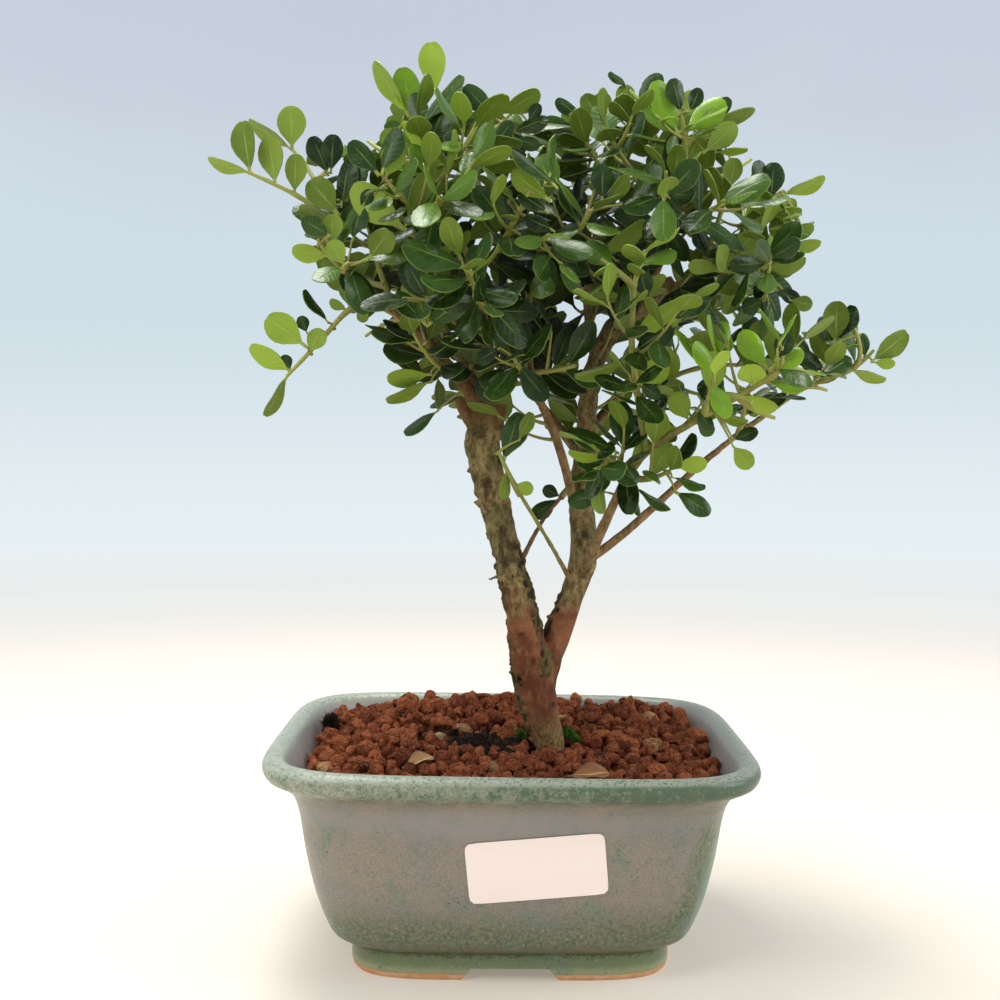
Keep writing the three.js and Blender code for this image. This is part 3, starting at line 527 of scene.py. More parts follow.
def glazePaint():
    paint = Paint("glaze", Coat_Roughness=0.2, Specular_IOR_Level=0.4)
    place = paint.millimetres()
    x, _, z = paint.parts(place)
    inside = paint.parts(paint.fact("place"))[0]
    broad = paint.noise(place, 19, 3)
    mottle = paint.noise(place, 3.4, 4, 0.62)
    grain = paint.noise(place, 1.15, 4, 0.8)
    dust = paint.noise(place, 0.5, 3, 0.75)
    wander = (broad - 0.5) * 9 + (mottle - 0.5) * 6
    right = x - z * 0.27
    body = paint.mix(broad.over(0.36, 0.66), "897d6f", "7c7870")
    body = paint.mix(mottle.over(0.5, 0.7) * 0.5, body, "727567")
    body = paint.mix(grain.over(0.56, 0.7) * 0.3, body, "998f7f")
    body = paint.mix(grain.over(0.44, 0.34) * 0.4, body, "5b6557")
    body = paint.mix(dust.over(0.5, 0.62) * 0.28, body, "4f4a40")
    body = paint.mix(dust.over(0.46, 0.36) * 0.25, body, "aaa08f")
    # the lower body and its right corner are olive and grainy
    low = (z + wander).over(27, 14)
    corner = (right + wander * 0.4).over(36.5, 42)
    olive = paint.mix(grain.over(0.42, 0.58), "47573f", "737458")
    olive = paint.mix(grain.over(0.62, 0.72) * 0.6, olive, "989678")
    colour = paint.mix((low * 0.9 + corner * z.over(56, 46) * 0.85).clamp(), body, olive)
    edge = (right + wander * 0.15).over(43.5, 46.5) * z.over(46, 38)
    colour = paint.mix(edge, colour, paint.mix(mottle, "627a66", "808f76"))
    # the waist under the bulge: partly the glaze's brown-olive tone, partly painted shade
    shadedWaist = z.over(13.5, 10.5) * z.over(7.6, 8.8)
    colour = paint.mix(shadedWaist * 0.75, colour, "58523a")
    # foot: grainy dark green above, smooth pale green below
    foot = z.over(9.2, 8.2)
    footTone = paint.mix((z + (grain - 0.5) * 8).over(5.8, 8.4), "6f7a56", "31421f")
    footTone = paint.mix((z + (grain - 0.5) * 2.5).over(4.6, 2.4), footTone, "8f946c")
    colour = paint.mix(foot, colour, footTone)
    colour = paint.mix((z + (mottle - 0.5) * 1.4).over(2.4, 1.8) * 0.5, colour, "8b7f58")
    # rim: pale on the crest, dark granules below it, a thin brown edge at the bottom
    rim = (z + wander * 0.12).over(54.4, 56.4)
    rimTone = paint.mix(grain.over(0.42, 0.6), "737b67", "a5a691")
    dark = (grain + mottle * 0.4 + x * 0.0022).over(0.62, 0.78) * z.over(61.4, 60.2)
    rimTone = paint.mix(dark * 0.9, rimTone, "3a4f36")
    crest = paint.mix(grain.over(0.45, 0.62), "9ea191", "738570")
    rimTone = paint.mix((z + (grain - 0.5) * 1.6).over(60.6, 61.9), rimTone, crest)
    granules = paint.cells(place, 0.85).over(0.44, 0.26) * (mottle + x * 0.0012).over(0.42, 0.56)
    rimTone = paint.mix(granules * 0.75, rimTone, "35604b")
    colour = paint.mix(rim, colour, rimTone)
    brown = z.over(53.4, 55) * z.over(57.0, 55.4) * mottle.over(0.4, 0.55)
    colour = paint.mix(brown * 0.6, colour, "645f44")
    # clusters of teal specks
    patch = paint.noise(place, 7, 2)
    specks = paint.noise(place, 0.9, 3, 0.7).over(0.57, 0.66) * patch.over(0.5, 0.64)
    tiny = paint.cells(place, 0.8).over(0.28, 0.14) * mottle.over(0.47, 0.56)
    haze = patch.over(0.56, 0.68) * (0.15 + grain * 0.5)
    colour = paint.mix(haze * z.over(56, 52), colour, "64796a")
    colour = paint.mix((specks * 0.85 + tiny * 0.5).clamp() * z.over(61, 58), colour, "25503f")
    pale = paint.cells(paint.stretched(place, (1.1, 1, 0.9)), 2.3).over(0.14, 0.06)
    pale = pale * (low + corner).clamp()
    colour = paint.mix(pale * 0.6, colour, "b0b39a")
    wall = paint.mix(mottle.over(0.4, 0.66), "918885", "868781")
    wall = paint.mix((z.over(56, 61.5) * 0.6 + tiny * 0.3).clamp(), wall, "8a8f82")
    colour = paint.mix(inside * z.over(62.2, 60.8), colour, wall)
    clay = (z + (mottle - 0.5) * 1.2).over(2.0, 1.6)
    clayTone = paint.mix(mottle.over(0.35, 0.65), "c28d62", "d4a379")
    colour = paint.mix(clay, colour, clayTone)
    roughness = 0.36 + mottle * 0.14 + clay * 0.45
    height = mottle * 0.3 + grain * 0.3 - specks * 0.2
    return paint.finish(colour, roughness, height, 0.14, 0.2 - clay * 0.2)


def makePot():
    shell = bareObject("shell", makePotMesh())
    for side in (-1, 1):
        rod = makeRod(side * pot["drainX"], pot["drainRadius"], -2, pot["floorTop"] + 2)
        cutAway(shell, bareObject("rod", rod))
    mesh = shell.data
    bpy.data.objects.remove(shell)
    x, y, z = ((readPoints(mesh) - potCentre) * 1000).T
    angle = np.arctan2(y, x)
    wallRadius = potRadius(angle, halfWidths(pot["inner"], z))
    inside = smoothStep(2.6, 1.2, np.hypot(x, y) - wallRadius) * (z > 9)
    setFact(mesh, "place", np.stack([inside] * 3, -1))
    recoat(mesh, glazePaint())
    mesh.set_sharp_from_angle(angle=math.radians(pot["sharpFrom"]))
    mesh.name = "glazedPot"
    adopt("glazedPot", mesh, ["pot"])


# Soil

soil = {
    "pitch": 3.9,  # from granule to granule
    "radius": (1.5, 3.2),
    "upperShare": 0.45,  # how many lie on top of the others
    "bedDrop": 1.6,  # how far the bed lies below the granules' middles
    "bedRelief": 0.7,
    "wallGap": 0.35,
    "around": 160,
    "jitter": 0.34,  # of the pitch
    "rowPitch": 0.866,  # height of a triangle with even sides
    "upDown": 0.9,
    "upperRise": (1.4, 1.1),  # of the upper granules: the least, and how much more at most
    "trunk": (12, 3),
    "trunkClear": (6.2, 9),  # from the trunk's middle: all granules, the upper ones
    "peatShare": 0.3,  # of the granules that stay where the peat lies
    "cuts": 8,  # planes that cut each granule
    "cutDepth": (0.5, 0.92),  # how far from its middle, in radii
    "odd": (0.012, 0.03),  # share of pale granules, of dark ones
    "sink": 0.62,
    "sharpFrom": 34,  # degrees
    "seed": 11,
}
peatSpots = [(-9, 6, 9.5), (-3, -6, 6), (2, 4, 6), (-21, 13, 5), (4, 12, 4)]  # x, y, radius
# Single bits on the soil: the pixel where each shows, its radius, its squash, its tones
oddBits = [
    (439, 736, 2.6, (1.2, 1.2, 0.5), (0.6, 1, 0)), (476, 735, 2.4, (1.2, 1, 0.5), (0.5, 0.9, 0)),
    (463, 730, 2.2, (1, 1, 0.8), (0.5, 0.75, 0)), (621, 742, 2.5, (1.1, 1, 0.8), (0.3, 0, 0.85)),
    (652, 745, 2.6, (1.2, 1, 0.8), (0.9, 0.55, 0.1)),
    (602, 757, 2.6, (1.4, 1, 0.5), (0.3, 0.25, 0.8)),
    (327, 766, 2.8, (1, 1, 0.8), (1, 0.45, 0)), (560, 716, 2.4, (1.4, 1, 0.4), (0.9, 0.9, 0)),
    (690, 748, 2.0, (1.2, 1, 0.6), (1, 0.5, 0)),
    (409, 699, 3.0, (1, 1, 0.9), (0.5, 0, 0)), (377, 709, 3.3, (1.2, 1, 0.6), (0.3, 0, 0)),
    (457, 703, 3.5, (1.2, 1, 0.6), (0.4, 0, 0.1)), (483, 697, 3.0, (1.1, 1, 0.7), (0.2, 0, 0.2)),
    (504, 701, 2.9, (1, 1, 0.8), (0.7, 0, 0)), (635, 703, 2.8, (1, 1, 0.8), (0.5, 0, 0)),
    (680, 716, 2.9, (1.1, 1, 0.9), (0.8, 0, 0)), (339, 744, 3.4, (1.2, 1, 0.8), (0.7, 0, 0)),
    (672, 760, 3.1, (1, 1, 0.8), (0.6, 0, 0)), (711, 765, 2.5, (1, 1, 1), (0.9, 0, 0)),
    (507, 758, 2.9, (1.1, 1, 0.7), (0.3, 0, 0)), (441, 768, 3.0, (1.2, 1, 0.6), (0.5, 0, 0)),
    (358, 728, 2.8, (1, 1, 0.8), (0.9, 0, 0)), (655, 728, 3.0, (1.2, 1, 0.7), (0.2, 0, 0.1)),
]


def soilLevel(x, y):
    backHeap = 4.4 * np.exp(-((x + 8) / 30) ** 2 - ((y - 34) / 15) ** 2)
    rightHeap = 2.6 * np.exp(-((x - 38) / 17) ** 2 - ((y - 30) / 18) ** 2)
    return 55.6 + 3.2 * (y / 55) + backHeap + rightHeap - 1.4 * (x / 60) ** 2


def insideShare(x, y, z):
    # 0 on the pot's axis and 1 on its inner wall at that height
    return np.hypot(x, y) / potRadius(np.arctan2(y, x), halfWidths(pot["inner"], z))


def roundedSphere():
    # a sphere of eighty triangles: an icosahedron's, each cut in four
    golden = (1 + 5 ** 0.5) / 2
    points = [(-1, golden, 0), (1, golden, 0), (-1, -golden, 0), (1, -golden, 0), (0, -1, golden),
              (0, 1, golden), (0, -1, -golden), (0, 1, -golden), (golden, 0, -1), (golden, 0, 1),
              (-golden, 0, -1), (-golden, 0, 1)]
    faces = [(0, 11, 5), (0, 5, 1), (0, 1, 7), (0, 7, 10), (0, 10, 11), (1, 5, 9), (5, 11, 4),
             (11, 10, 2), (10, 7, 6), (7, 1, 8), (3, 9, 4), (3, 4, 2), (3, 2, 6), (3, 6, 8),
             (3, 8, 9), (4, 9, 5), (2, 4, 11), (6, 2, 10), (8, 6, 7), (9, 8, 1)]
    points = [np.array(p, float) for p in points]
    middles, finer = {}, []
    for a, b, c in faces:
        cut = []
        for pair in ((a, b), (b, c), (c, a)):
            key = tuple(sorted(pair))
            if key not in middles:
                middles[key] = len(points)
                points.append((unit(points[key[0]]) + unit(points[key[1]])) / 2)
            cut.append(middles[key])
        ab, bc, ca = cut
        finer += [(a, ab, ca), (b, bc, ab), (c, ca, bc), (ab, bc, ca)]
    return unit(np.array(points)), np.array(finer)


def lumps(places, radii, seed, crumble=0.1):
    # spheres cut by random planes and crumbled: each point p moves back to a plane it passes,
    # p - n max(0, p.n - d) for every plane, then grows by noise
    rng = np.random.default_rng(seed)
    ball, faces = roundedSphere()
    count = len(places)
    points = np.repeat(ball[None], count, 0)
    for _ in range(soil["cuts"]):
        normal = unit(rng.normal(size=(count, 1, 3)))
        depth = rng.uniform(*soil["cutDepth"], (count, 1))
        past = np.maximum((points * normal).sum(-1) - depth, 0)
        points = points - normal * past[..., None] * 0.95
    squash = rng.uniform(0.75, 1.3, (count, 1, 3))
    points = points * squash * (1 + crumble * rng.uniform(-1, 1, (count, len(ball), 1)))
    points = np.asarray(places)[:, None] + points * np.asarray(radii)[:, None, None]
    return points, repeatFaces(faces, count, len(ball))


def onSoil(px, py, lift):
    # the point just above the soil that the camera sees at a pixel
    ahead = np.linspace(-50, 50, 201)
    seen = np.array([sightPoint(px, py, y) for y in ahead])
    above = seen[:, 2] - soilLevel(seen[:, 0], seen[:, 1]) - lift
    return seen[np.abs(above).argmin()]


def soilPaint():
    paint = Paint("bakedClay", 0.95, Specular_IOR_Level=0.06)
    place = paint.millimetres()
    tone = paint.parts(paint.fact("kind"))
    grain = paint.noise(place, 1.1, 5, 0.78)
    patch = paint.noise(place, 2.6, 3, 0.6)
    pits = paint.noise(place, 0.55, 3, 0.75)
    colour = paint.mix(tone[0], "6f3925", "ae6541")
    colour = paint.mix(tone[1], colour, "c4a06f")
    colour = paint.mix(tone[2], colour, "231b18")
    # partly the clay's own tone, partly painted highlight and shade: lighter where the bump stands
    # high, darker in its hollows and pits
    colour = paint.mix(grain.over(0.52, 0.7) * 0.55, colour, "cf9570")
    colour = paint.mix(grain.over(0.47, 0.34) * 0.75, colour, "280d06")
    colour = paint.mix(patch.over(0.5, 0.3) * 0.5, colour, "3d1e14")
    colour = paint.mix(pits.over(0.48, 0.38) * 0.55, colour, "270c05")
    return paint.finish(colour, None, grain + pits * 0.3, 1.1)


def makeSoil(paint):
    # the bed: heights over a polar grid, closed by the wall and a floor
    angle = turns(soil["around"])
    share = np.linspace(1, 0.02, 40)
    top = potRadius(angle[None], 61.5) * share[:, None]
    x, y = top * np.cos(angle), top * np.sin(angle)
    z = (soilLevel(x, y) - soil["bedDrop"]
         + soil["bedRelief"] * softNoise(np.stack([x, y, 0 * x], -1), 3.0))
    wall = potRadius(angle[None], halfWidths(pot["inner"], z) - soil["wallGap"])
    x, y = x * np.minimum(1, wall / top), y * np.minimum(1, wall / top)
    rings = []
    for level, fullness in ((12, 0.02), (12, 0.5), (12, 1), (20, 1), (30, 1), (40, 1), (50, 1)):
        r = potRadius(angle, halfWidths(pot["inner"], level) - soil["wallGap"]) * fullness
        rings.append(rounds(r, angle, level))
    bed = np.concatenate([rings, np.stack([x, y, z], -1)])
    skin = Skin()
    # painted shade: the bed, seen only in the gaps between the granules, is coloured dark
    skin.add(bed, tubeFaces(len(bed), len(angle)), kind=(0.1, 0, 0.45))

    rng = np.random.default_rng(soil["seed"])
    pitch, jitter = soil["pitch"], soil["jitter"]
    small, large = soil["radius"]
    least, more = soil["upperRise"]
    places, radii = [], []
    for layer in (0, 1):
        cols, rowsOf = np.meshgrid(np.arange(-20, 21), np.arange(-20, 21))
        gx = (cols + 0.5 * (rowsOf % 2) + 0.5 * layer) * pitch
        gy = rowsOf * pitch * soil["rowPitch"] + layer * pitch * 0.3
        gx, gy = (g.ravel() + rng.uniform(-jitter, jitter, g.size) * pitch for g in (gx, gy))
        size = small + (large - small) * rng.beta(1.3, 2.4, gx.size)
        z = (soilLevel(gx, gy) + rng.uniform(-soil["upDown"], soil["upDown"], gx.size)
             + layer * (least + rng.uniform(0, more, gx.size)))
        keep = insideShare(gx, gy, z) < 1 - size * 1.1 / 62
        fromTrunk = np.hypot(gx - soil["trunk"][0], gy - soil["trunk"][1])
        if layer:
            keep &= rng.random(gx.size) < soil["upperShare"]
        keep &= fromTrunk > soil["trunkClear"][layer]
        for px, py, r in peatSpots:
            stays = rng.random(gx.size) < soil["peatShare"]
            keep &= (np.hypot(gx - px, (gy - py) * 1.2) > r) | stays
        places.append(np.stack([gx, gy, z], -1)[keep])
        radii.append(size[keep])
    places, radii = np.concatenate(places), np.concatenate(radii)
    points, faces = lumps(places, radii, soil["seed"])
    pale, dark = soil["odd"]
    tones = np.stack([rng.uniform(0, 1, len(places)), (rng.random(len(places)) < pale) * 0.7,
                      (rng.random(len(places)) < dark) * 0.6], -1)
    skin.add(points, [faces], kind=np.repeat(tones, points.shape[1], 0))
    for px, py, size, squash, tone in oddBits:
        point = onSoil(px, py, size * soil["sink"])
        shape, faces = lumps([(0, 0, 0)], [size], px)
        skin.add(shape * squash + point, [faces], kind=tone)
    print("soil granules", len(places))
    makePiece("soilGranules", skin, [paint], ["soil"], sharp=soil["sharpFrom"])


# Wood

limbs = {
    "stemLeft": ([(10, 4, 30), (11, 3, 46), (12, 3, 57), (9.5, 2, 66), (7.5, 1, 76), (4.5, -1, 91),
                  (2, -2, 103), (-4, -1, 127), (-7, 0, 139), (-9, 1, 150), (-8, 1, 163)],
                 [3.5, 5.4, 4.6, 5.8, 6.1, 4.7, 4.3, 4.2, 4.8, 5.4, 3.6]),
    "stemRight": ([(8, 3, 76), (11, 4, 83), (14, 5, 90), (19, 6, 104), (22, 6, 114), (22, 7, 123),
                   (21, 8, 131)], [4, 4.2, 3.9, 3.6, 4.2, 4.1, 3.4]),
    "leader": ([(21, 8, 128), (22, 11, 141), (23, 13, 153), (25, 14, 172), (31, 12, 185),
                (42, 8, 195)], [3.4, 3, 2.7, 3.4]),
    "leftLeader": ([(-8, -1, 160), (-7, -12, 177), (-7, -20, 189), (-14, -26, 204), (-21, -28, 217),
                    (-26, -24, 238)], [2.6, 1.7, 1.3, 1.1]),
    "leftArm": ([(-9, 0, 160), (-17, -6, 170), (-27, -12, 181), (-41, -18, 193), (-52, -20, 204)],
                [3, 2, 1.5, 1.1]),
    "leftBack": ([(-8, 2, 159), (-14, 16, 172), (-22, 32, 184), (-29, 44, 197)],
                 [2.9, 2, 1.5, 1.1]),
    "backMid": ([(22, 11, 145), (12, 30, 159), (3, 44, 172), (-3, 53, 185)], [2.3, 1.7, 1.4, 1.1]),
    "topBack": ([(26, 14, 175), (24, 25, 192), (24, 33, 210), (26, 37, 226)], [2.4, 1.8, 1.4, 1.1]),
    "rightTop": ([(39, 9, 192), (45, 0, 207), (49, -8, 220), (49, -14, 232)], [2.4, 1.8, 1.4, 1.1]),
    "innerTop": ([(20, 6, 127), (15, 2, 146), (11, -2, 156), (6, -5, 168), (4, -6, 186),
                  (7, -4, 204), (9, -3, 218)], [1.9, 1.6, 1.4, 1.1]),
    "rightArm": ([(40, 9, 193), (57, 4, 200), (71, 0, 204), (82, -2, 209)], [2.4, 1.7, 1.3, 1.1]),
    "backRight": ([(23, 13, 151), (34, 28, 165), (46, 40, 178), (57, 50, 190)],
                  [2.4, 1.8, 1.4, 1.1]),
    "frontRight": ([(22, 3, 110), (27, -8, 125), (37, -20, 146), (49, -28, 155), (62, -34, 163),
                    (70, -38, 168)], [2.3, 1.7, 1.4, 1.1]),
    "lowRight": ([(23, 8, 113), (35, 10, 122), (61, 14, 145), (78, 16, 158), (91, 16, 167),
                  (103, 14, 172)], [1.9, 1.5, 1.2, 1]),
    "frontStem": ([(38, -22, 148), (34, -33, 164), (32, -38, 177), (32, -40, 188)],
                  [1.3, 1.15, 1.1, 1.1]),
    "greenTwig": ([(18, 3, 108), (10, -5, 122), (2, -12, 135)], [1.1, 0.8, 0.8]),
    "backTwig": ([(2, 1, 112), (10, 12, 126), (16, 18, 133)], [1.1, 0.85, 0.8]),
}
# Short stubs and spurs: start, end, radius
stubs = [
    ((-8, 0, 145.5), (-14, -1, 147.5), 0.7), ((-8, 0, 139), (-13.2, -1.5, 141.5), 1.35),
    ((-6, 0, 128), (-11.2, -2.5, 132), 0.9), ((5, -1, 92), (8.6, -2, 95.8), 1),
    ((14.5, 5, 95), (11, 3.6, 97), 0.55), ((17.5, 6, 98), (21.6, 4.6, 101), 0.6),
    ((-2.5, -1, 110), (-6.6, -2, 108.5), 0.5), ((2, 0, 78), (-0.2, -3, 81), 0.5),
    ((-8.5, 0, 149), (-16.5, -1, 163), 2.5), ((42, 8, 195), (49, 6, 199), 3.4),
    ((-6, -0.5, 151), (-3.4, -2, 168), 3.1), ((-4, -2, 164), (-0.5, -3, 177), 1.9),
]
web = ([(9.2, 3, 70), (10.2, 3.3, 78.6), (11.2, 3.6, 82.3), (12.8, 4.2, 88)], [4.0, 4.2, 4.2, 3.8])
roots = [
    [(11, 3, 52), (28, -2, 45), (42, -8, 36)], [(11, 3, 52), (4, -14, 46), (-4, -26, 36)],
    [(11, 3, 50), (-6, 4, 45), (-22, 8, 36)], [(11, 3, 51), (14, 18, 47), (18, 32, 37)],
]
# How far along a limb its bark starts to turn green, if it does
greenFrom = {"frontRight": 0.35, "frontStem": -0.6, "greenTwig": 0.1, "lowRight": 0.55,
             "rightArm": 0.5, "leftLeader": 0.35, "leftArm": 0.75, "rightTop": 0.5,
             "innerTop": 0.45, "topBack": 0.6, "backRight": 0.6, "backMid": 0.6, "leftBack": 0.6}
# Old knots on the side towards the camera: x, z, radius
knots = [(-1.5, 105.3, 1.5), (3.0, 92.3, 1.0), (-7.5, 137.5, 1.8), (-10, 152, 1.6),
         (1.5, 118.5, 0.7), (12.6, 70.5, 1.1), (6.6, 84.5, 0.7)]
wood = {
    "rootRadii": [4.2, 2.4, 1.2],
    "voxel": 0.5,  # mm, size of the cells that the limbs are melted together in
    "relief": 0.34,  # mm, how rough old bark is
    "flake": 0.75,  # mm, how far the dark flakes along the edges stand out
    "smoothBelow": 104,  # mm, height below which the bark is smooth and reddish
    "slim": 0.8,  # how thick the visible limbs are beside the solid ones, the stems aside
    "greenSpan": 0.45,  # of a limb's length, over which its bark turns green
    "stubTaper": 0.5,
    "youngRelief": 0.12,
    "knotRing": 0.3,  # mm, how far the ring round a knot stands out
    "knotHollow": 0.35,
}

limbPaths = {name: throughPoints(points) for name, (points, _) in limbs.items()}


def radiusAlong(radii, u):
    return np.interp(u, np.linspace(0, 1, len(radii)), radii)


def barkCones():
    # the limbs as rows of straight cones: where each starts and ends, its radii, how green it is
    rows = []
    for name, (points, radii) in limbs.items():
        u = np.linspace(0, 1, len(points))
        centres, widths = limbPaths[name].at(u), radiusAlong(radii, u)
        start = greenFrom.get(name, 2)
        green = smoothStep(start, start + wood["greenSpan"], u)
        rows.append(np.column_stack([centres[:-1], centres[1:], widths[:-1], widths[1:],
                                     green[:-1], green[1:]]))
    return np.vstack(rows)


barkChain = barkCones()


def nearestBark(points):
    # distance from each point to the nearest cone's surface, the cone's radius there, its green
    points = np.atleast_2d(points)
    start, end = barkChain[:, 0:3], barkChain[:, 3:6]
    along = end - start
    t = ((points[:, None] - start) * along).sum(-1) / (along ** 2).sum(-1)
    t = np.clip(t, 0, 1)
    nearest = start + along * t[..., None]
    radius = barkChain[:, 6] * (1 - t) + barkChain[:, 7] * t
    green = barkChain[:, 8] * (1 - t) + barkChain[:, 9] * t
    gaps = np.linalg.norm(points[:, None] - nearest, axis=-1) - radius
    best = gaps.argmin(1)
    rows = np.arange(len(points))
    return gaps[rows, best], radius[rows, best], green[rows, best]


def barkDistance(points):
    return nearestBark(points)[0]


def barkPaint():
    paint = Paint("bark", 0.8, Specular_IOR_Level=0.25)
    place = paint.millimetres()
    x, _, z = paint.parts(place)
    girth, crack, flake = paint.parts(paint.fact("place"))
    green, knot, raised = paint.parts(paint.fact("kind"))
    patches = paint.noise(place, 8, 3, 0.6)
    streaks = paint.noise(paint.stretched(place, (1, 1, 0.45)), 2.0, 4, 0.65)
    fine = paint.noise(paint.stretched(place, (1, 1, 0.7)), 1.0, 5, 0.8)
    low = (z + (patches - 0.5) * 26).over(107, 96)
    old = girth.over(1.5, 2.6)
    grey = paint.mix(streaks.over(0.36, 0.64), "65522b", "9c8859")
    grey = paint.mix(fine.over(0.54, 0.68) * 0.75, grey, "b8a074")
    grey = paint.mix(fine.over(0.47, 0.36) * 0.85, grey, "2f2716")
    red = paint.mix(patches.over(0.38, 0.62), "683824", "895735")
    red = paint.mix(streaks.over(0.5, 0.7) * 0.45, red, "9c744c")
    red = paint.mix(fine.over(0.42, 0.33) * 0.5, red, "3e2414")
    colour = paint.mix(low, grey, red)
    base = (z + (streaks - 0.5) * 10).over(70, 60)
    colour = paint.mix(base * 0.8, colour, paint.mix(fine.over(0.4, 0.6), "66512f", "9d8553"))
    head = (z + (patches - 0.5) * 12).over(151, 159) * x.over(12, 7)
    colour = paint.mix(head * 0.75, colour, paint.mix(fine, "4a2f1a", "8a6038"))
    mossy = patches.over(0.5, 0.64) * z.over(92, 114) * z.over(172, 150)
    colour = paint.mix(mossy * 0.5, colour, "434a26")
    young = paint.mix(streaks.over(0.3, 0.7), "7c5c3a", "a5855a")
    young = paint.mix(fine.over(0.45, 0.35) * 0.35, young, "503824")
    lime = paint.mix(streaks.over(0.35, 0.7), "87863f", "a5a658")
    young = paint.mix(green, young, lime)
    colour = paint.mix(old, young, colour)
    cracks = (crack * old).clamp()
    colour = paint.mix(cracks * 0.7, colour, "1f1a0e")
    scales = paint.mix(raised, "1b180c", "5a5129")
    scales = paint.mix(fine.over(0.58, 0.7) * 0.6, scales, "8d8250")
    colour = paint.mix(flake, colour, scales)
    colour = paint.mix(knot * 0.5, colour, "3c2616")
    height = streaks * 0.4 + fine * (1 - low * 0.6)
    return paint.finish(colour, 0.7 + streaks * 0.2, height, 0.8)


def edgeFlakes(points, normals):
    # where dark flakes cling: along the trunk's left edge, up both inner edges of the fork,
    # in the fork itself and thinly along the left stem's outer edge
    x, _, z = points.T
    left, right, front = -normals[:, 0], normals[:, 0], -normals[:, 1]
    ragged = softNoise(points, 1.7, 9) * 0.34 + softNoise(points, 6, 10) * 0.16
    leftSide, rightSide = left + ragged, right + ragged
    low = smoothStep(0.5, 0.8, leftSide) * smoothStep(88, 82, z) * smoothStep(58, 64, z)
    fork = (np.exp(-((x - 10.5 - (z - 84) * 0.05) / 2.4) ** 2 - ((z - 84) / 7) ** 2)
            * smoothStep(-0.2, 0.4, front))
    fork = smoothStep(0.5, 0.75, fork * 0.95 + ragged)
    leftInner = (smoothStep(0.45, 0.8, rightSide) * smoothStep(84, 92, z)
                 * smoothStep(124, 112, z) * (x < 9.5))
    rightInner = (smoothStep(0.55, 0.85, leftSide) * smoothStep(86, 92, z)
                  * smoothStep(112, 100, z) * (x > 8))
    outer = (smoothStep(0.72, 0.95, leftSide) * smoothStep(84, 92, z)
             * smoothStep(150, 120, z) * (x < 6))
    most = np.maximum.reduce([low, fork, leftInner, rightInner, outer * 0.8])
    return np.clip(most, 0, 1)


def makeWood(paint):
    skin = Skin()

    def addTube(centres, radii, sides):
        skin.add(tube(centres, radii, sides), tubeFaces(len(centres), sides))

    for name, (_, radii) in limbs.items():
        path = limbPaths[name]
        u = np.linspace(0, 1, int(path.length / 1.6) + 2)
        slim = 1 if name in ("stemLeft", "stemRight", "leader") else wood["slim"]
        addTube(path.at(u), radiusAlong(radii, u) * slim, 20)
    for start, end, radius in stubs:
        u = np.linspace(0, 1, 5)
        centres = np.outer(1 - u, start) + np.outer(u, end)
        addTube(centres, radius * (1.1 - wood["stubTaper"] * u), 14)
    for points, radii in [web, *((points, wood["rootRadii"]) for points in roots)]:
        u = np.linspace(0, 1, 20)
        addTube(throughPoints(points).at(u), radiusAlong(radii, u), 14)
    rough = bareObject("roughWood", skin)
    melt = rough.modifiers.new("melt", "REMESH")
    melt.mode = "VOXEL"
    melt.voxel_size = wood["voxel"] / 1000
    mesh = meshAfter(rough)
    bpy.data.objects.remove(rough)

    points = (readPoints(mesh) - potCentre) * 1000
    normals = readPoints(mesh, "normal")
    _, girth, green = nearestBark(points)
    thick = smoothStep(1.4, 3.4, girth)
    border = wood["smoothBelow"]
    rugged = 0.25 + 0.75 * smoothStep(border - 6, border + 10, points[:, 2])
    long = points * (1, 1, 0.6)
    ridges = softNoise(long, 1.5, 1) * 0.7 + softNoise(long, 3.4, 2)
    rings = softNoise(points * (0.3, 0.3, 1), 1.9, 6)
    rise = (wood["relief"] * thick * rugged * (ridges + 0.4 * rings)
            + wood["youngRelief"] * (1 - thick) * softNoise(points, 2.2, 5))
    flake = edgeFlakes(points, normals) * thick
    raised = 1 - np.abs(softNoise(points * (1, 1, 0.55), 1.6, 7)) * 2.2
    rise += wood["flake"] * flake * (raised + 0.2)
    knot = np.zeros(len(points))
    facing = smoothStep(0, 0.4, -normals[:, 1])
    for x, z, radius in knots:
        away = np.hypot(points[:, 0] - x, points[:, 2] - z) / radius
        rise += facing * (wood["knotRing"] * np.exp(-((away - 1) / 0.35) ** 2)
                          - wood["knotHollow"] * np.exp(-(away / 0.6) ** 2))
        knot = np.maximum(knot, facing * smoothStep(1.15, 0.8, away))
    points = points + normals * rise[:, None]
    mesh.vertices.foreach_set("co", toFrame(points).ravel())
    crack = smoothStep(-0.4, -1.0, ridges) * thick * rugged
    setFact(mesh, "place", np.stack([girth, crack, flake], -1))
    setFact(mesh, "kind", np.stack([green, knot, smoothStep(-0.2, 0.8, raised)], -1))
    recoat(mesh, paint)
    mesh.update()
    print("wood faces", len(mesh.polygons))
    adopt("trunkAndBranches", mesh, ["trunk"])


# Leafy sprays

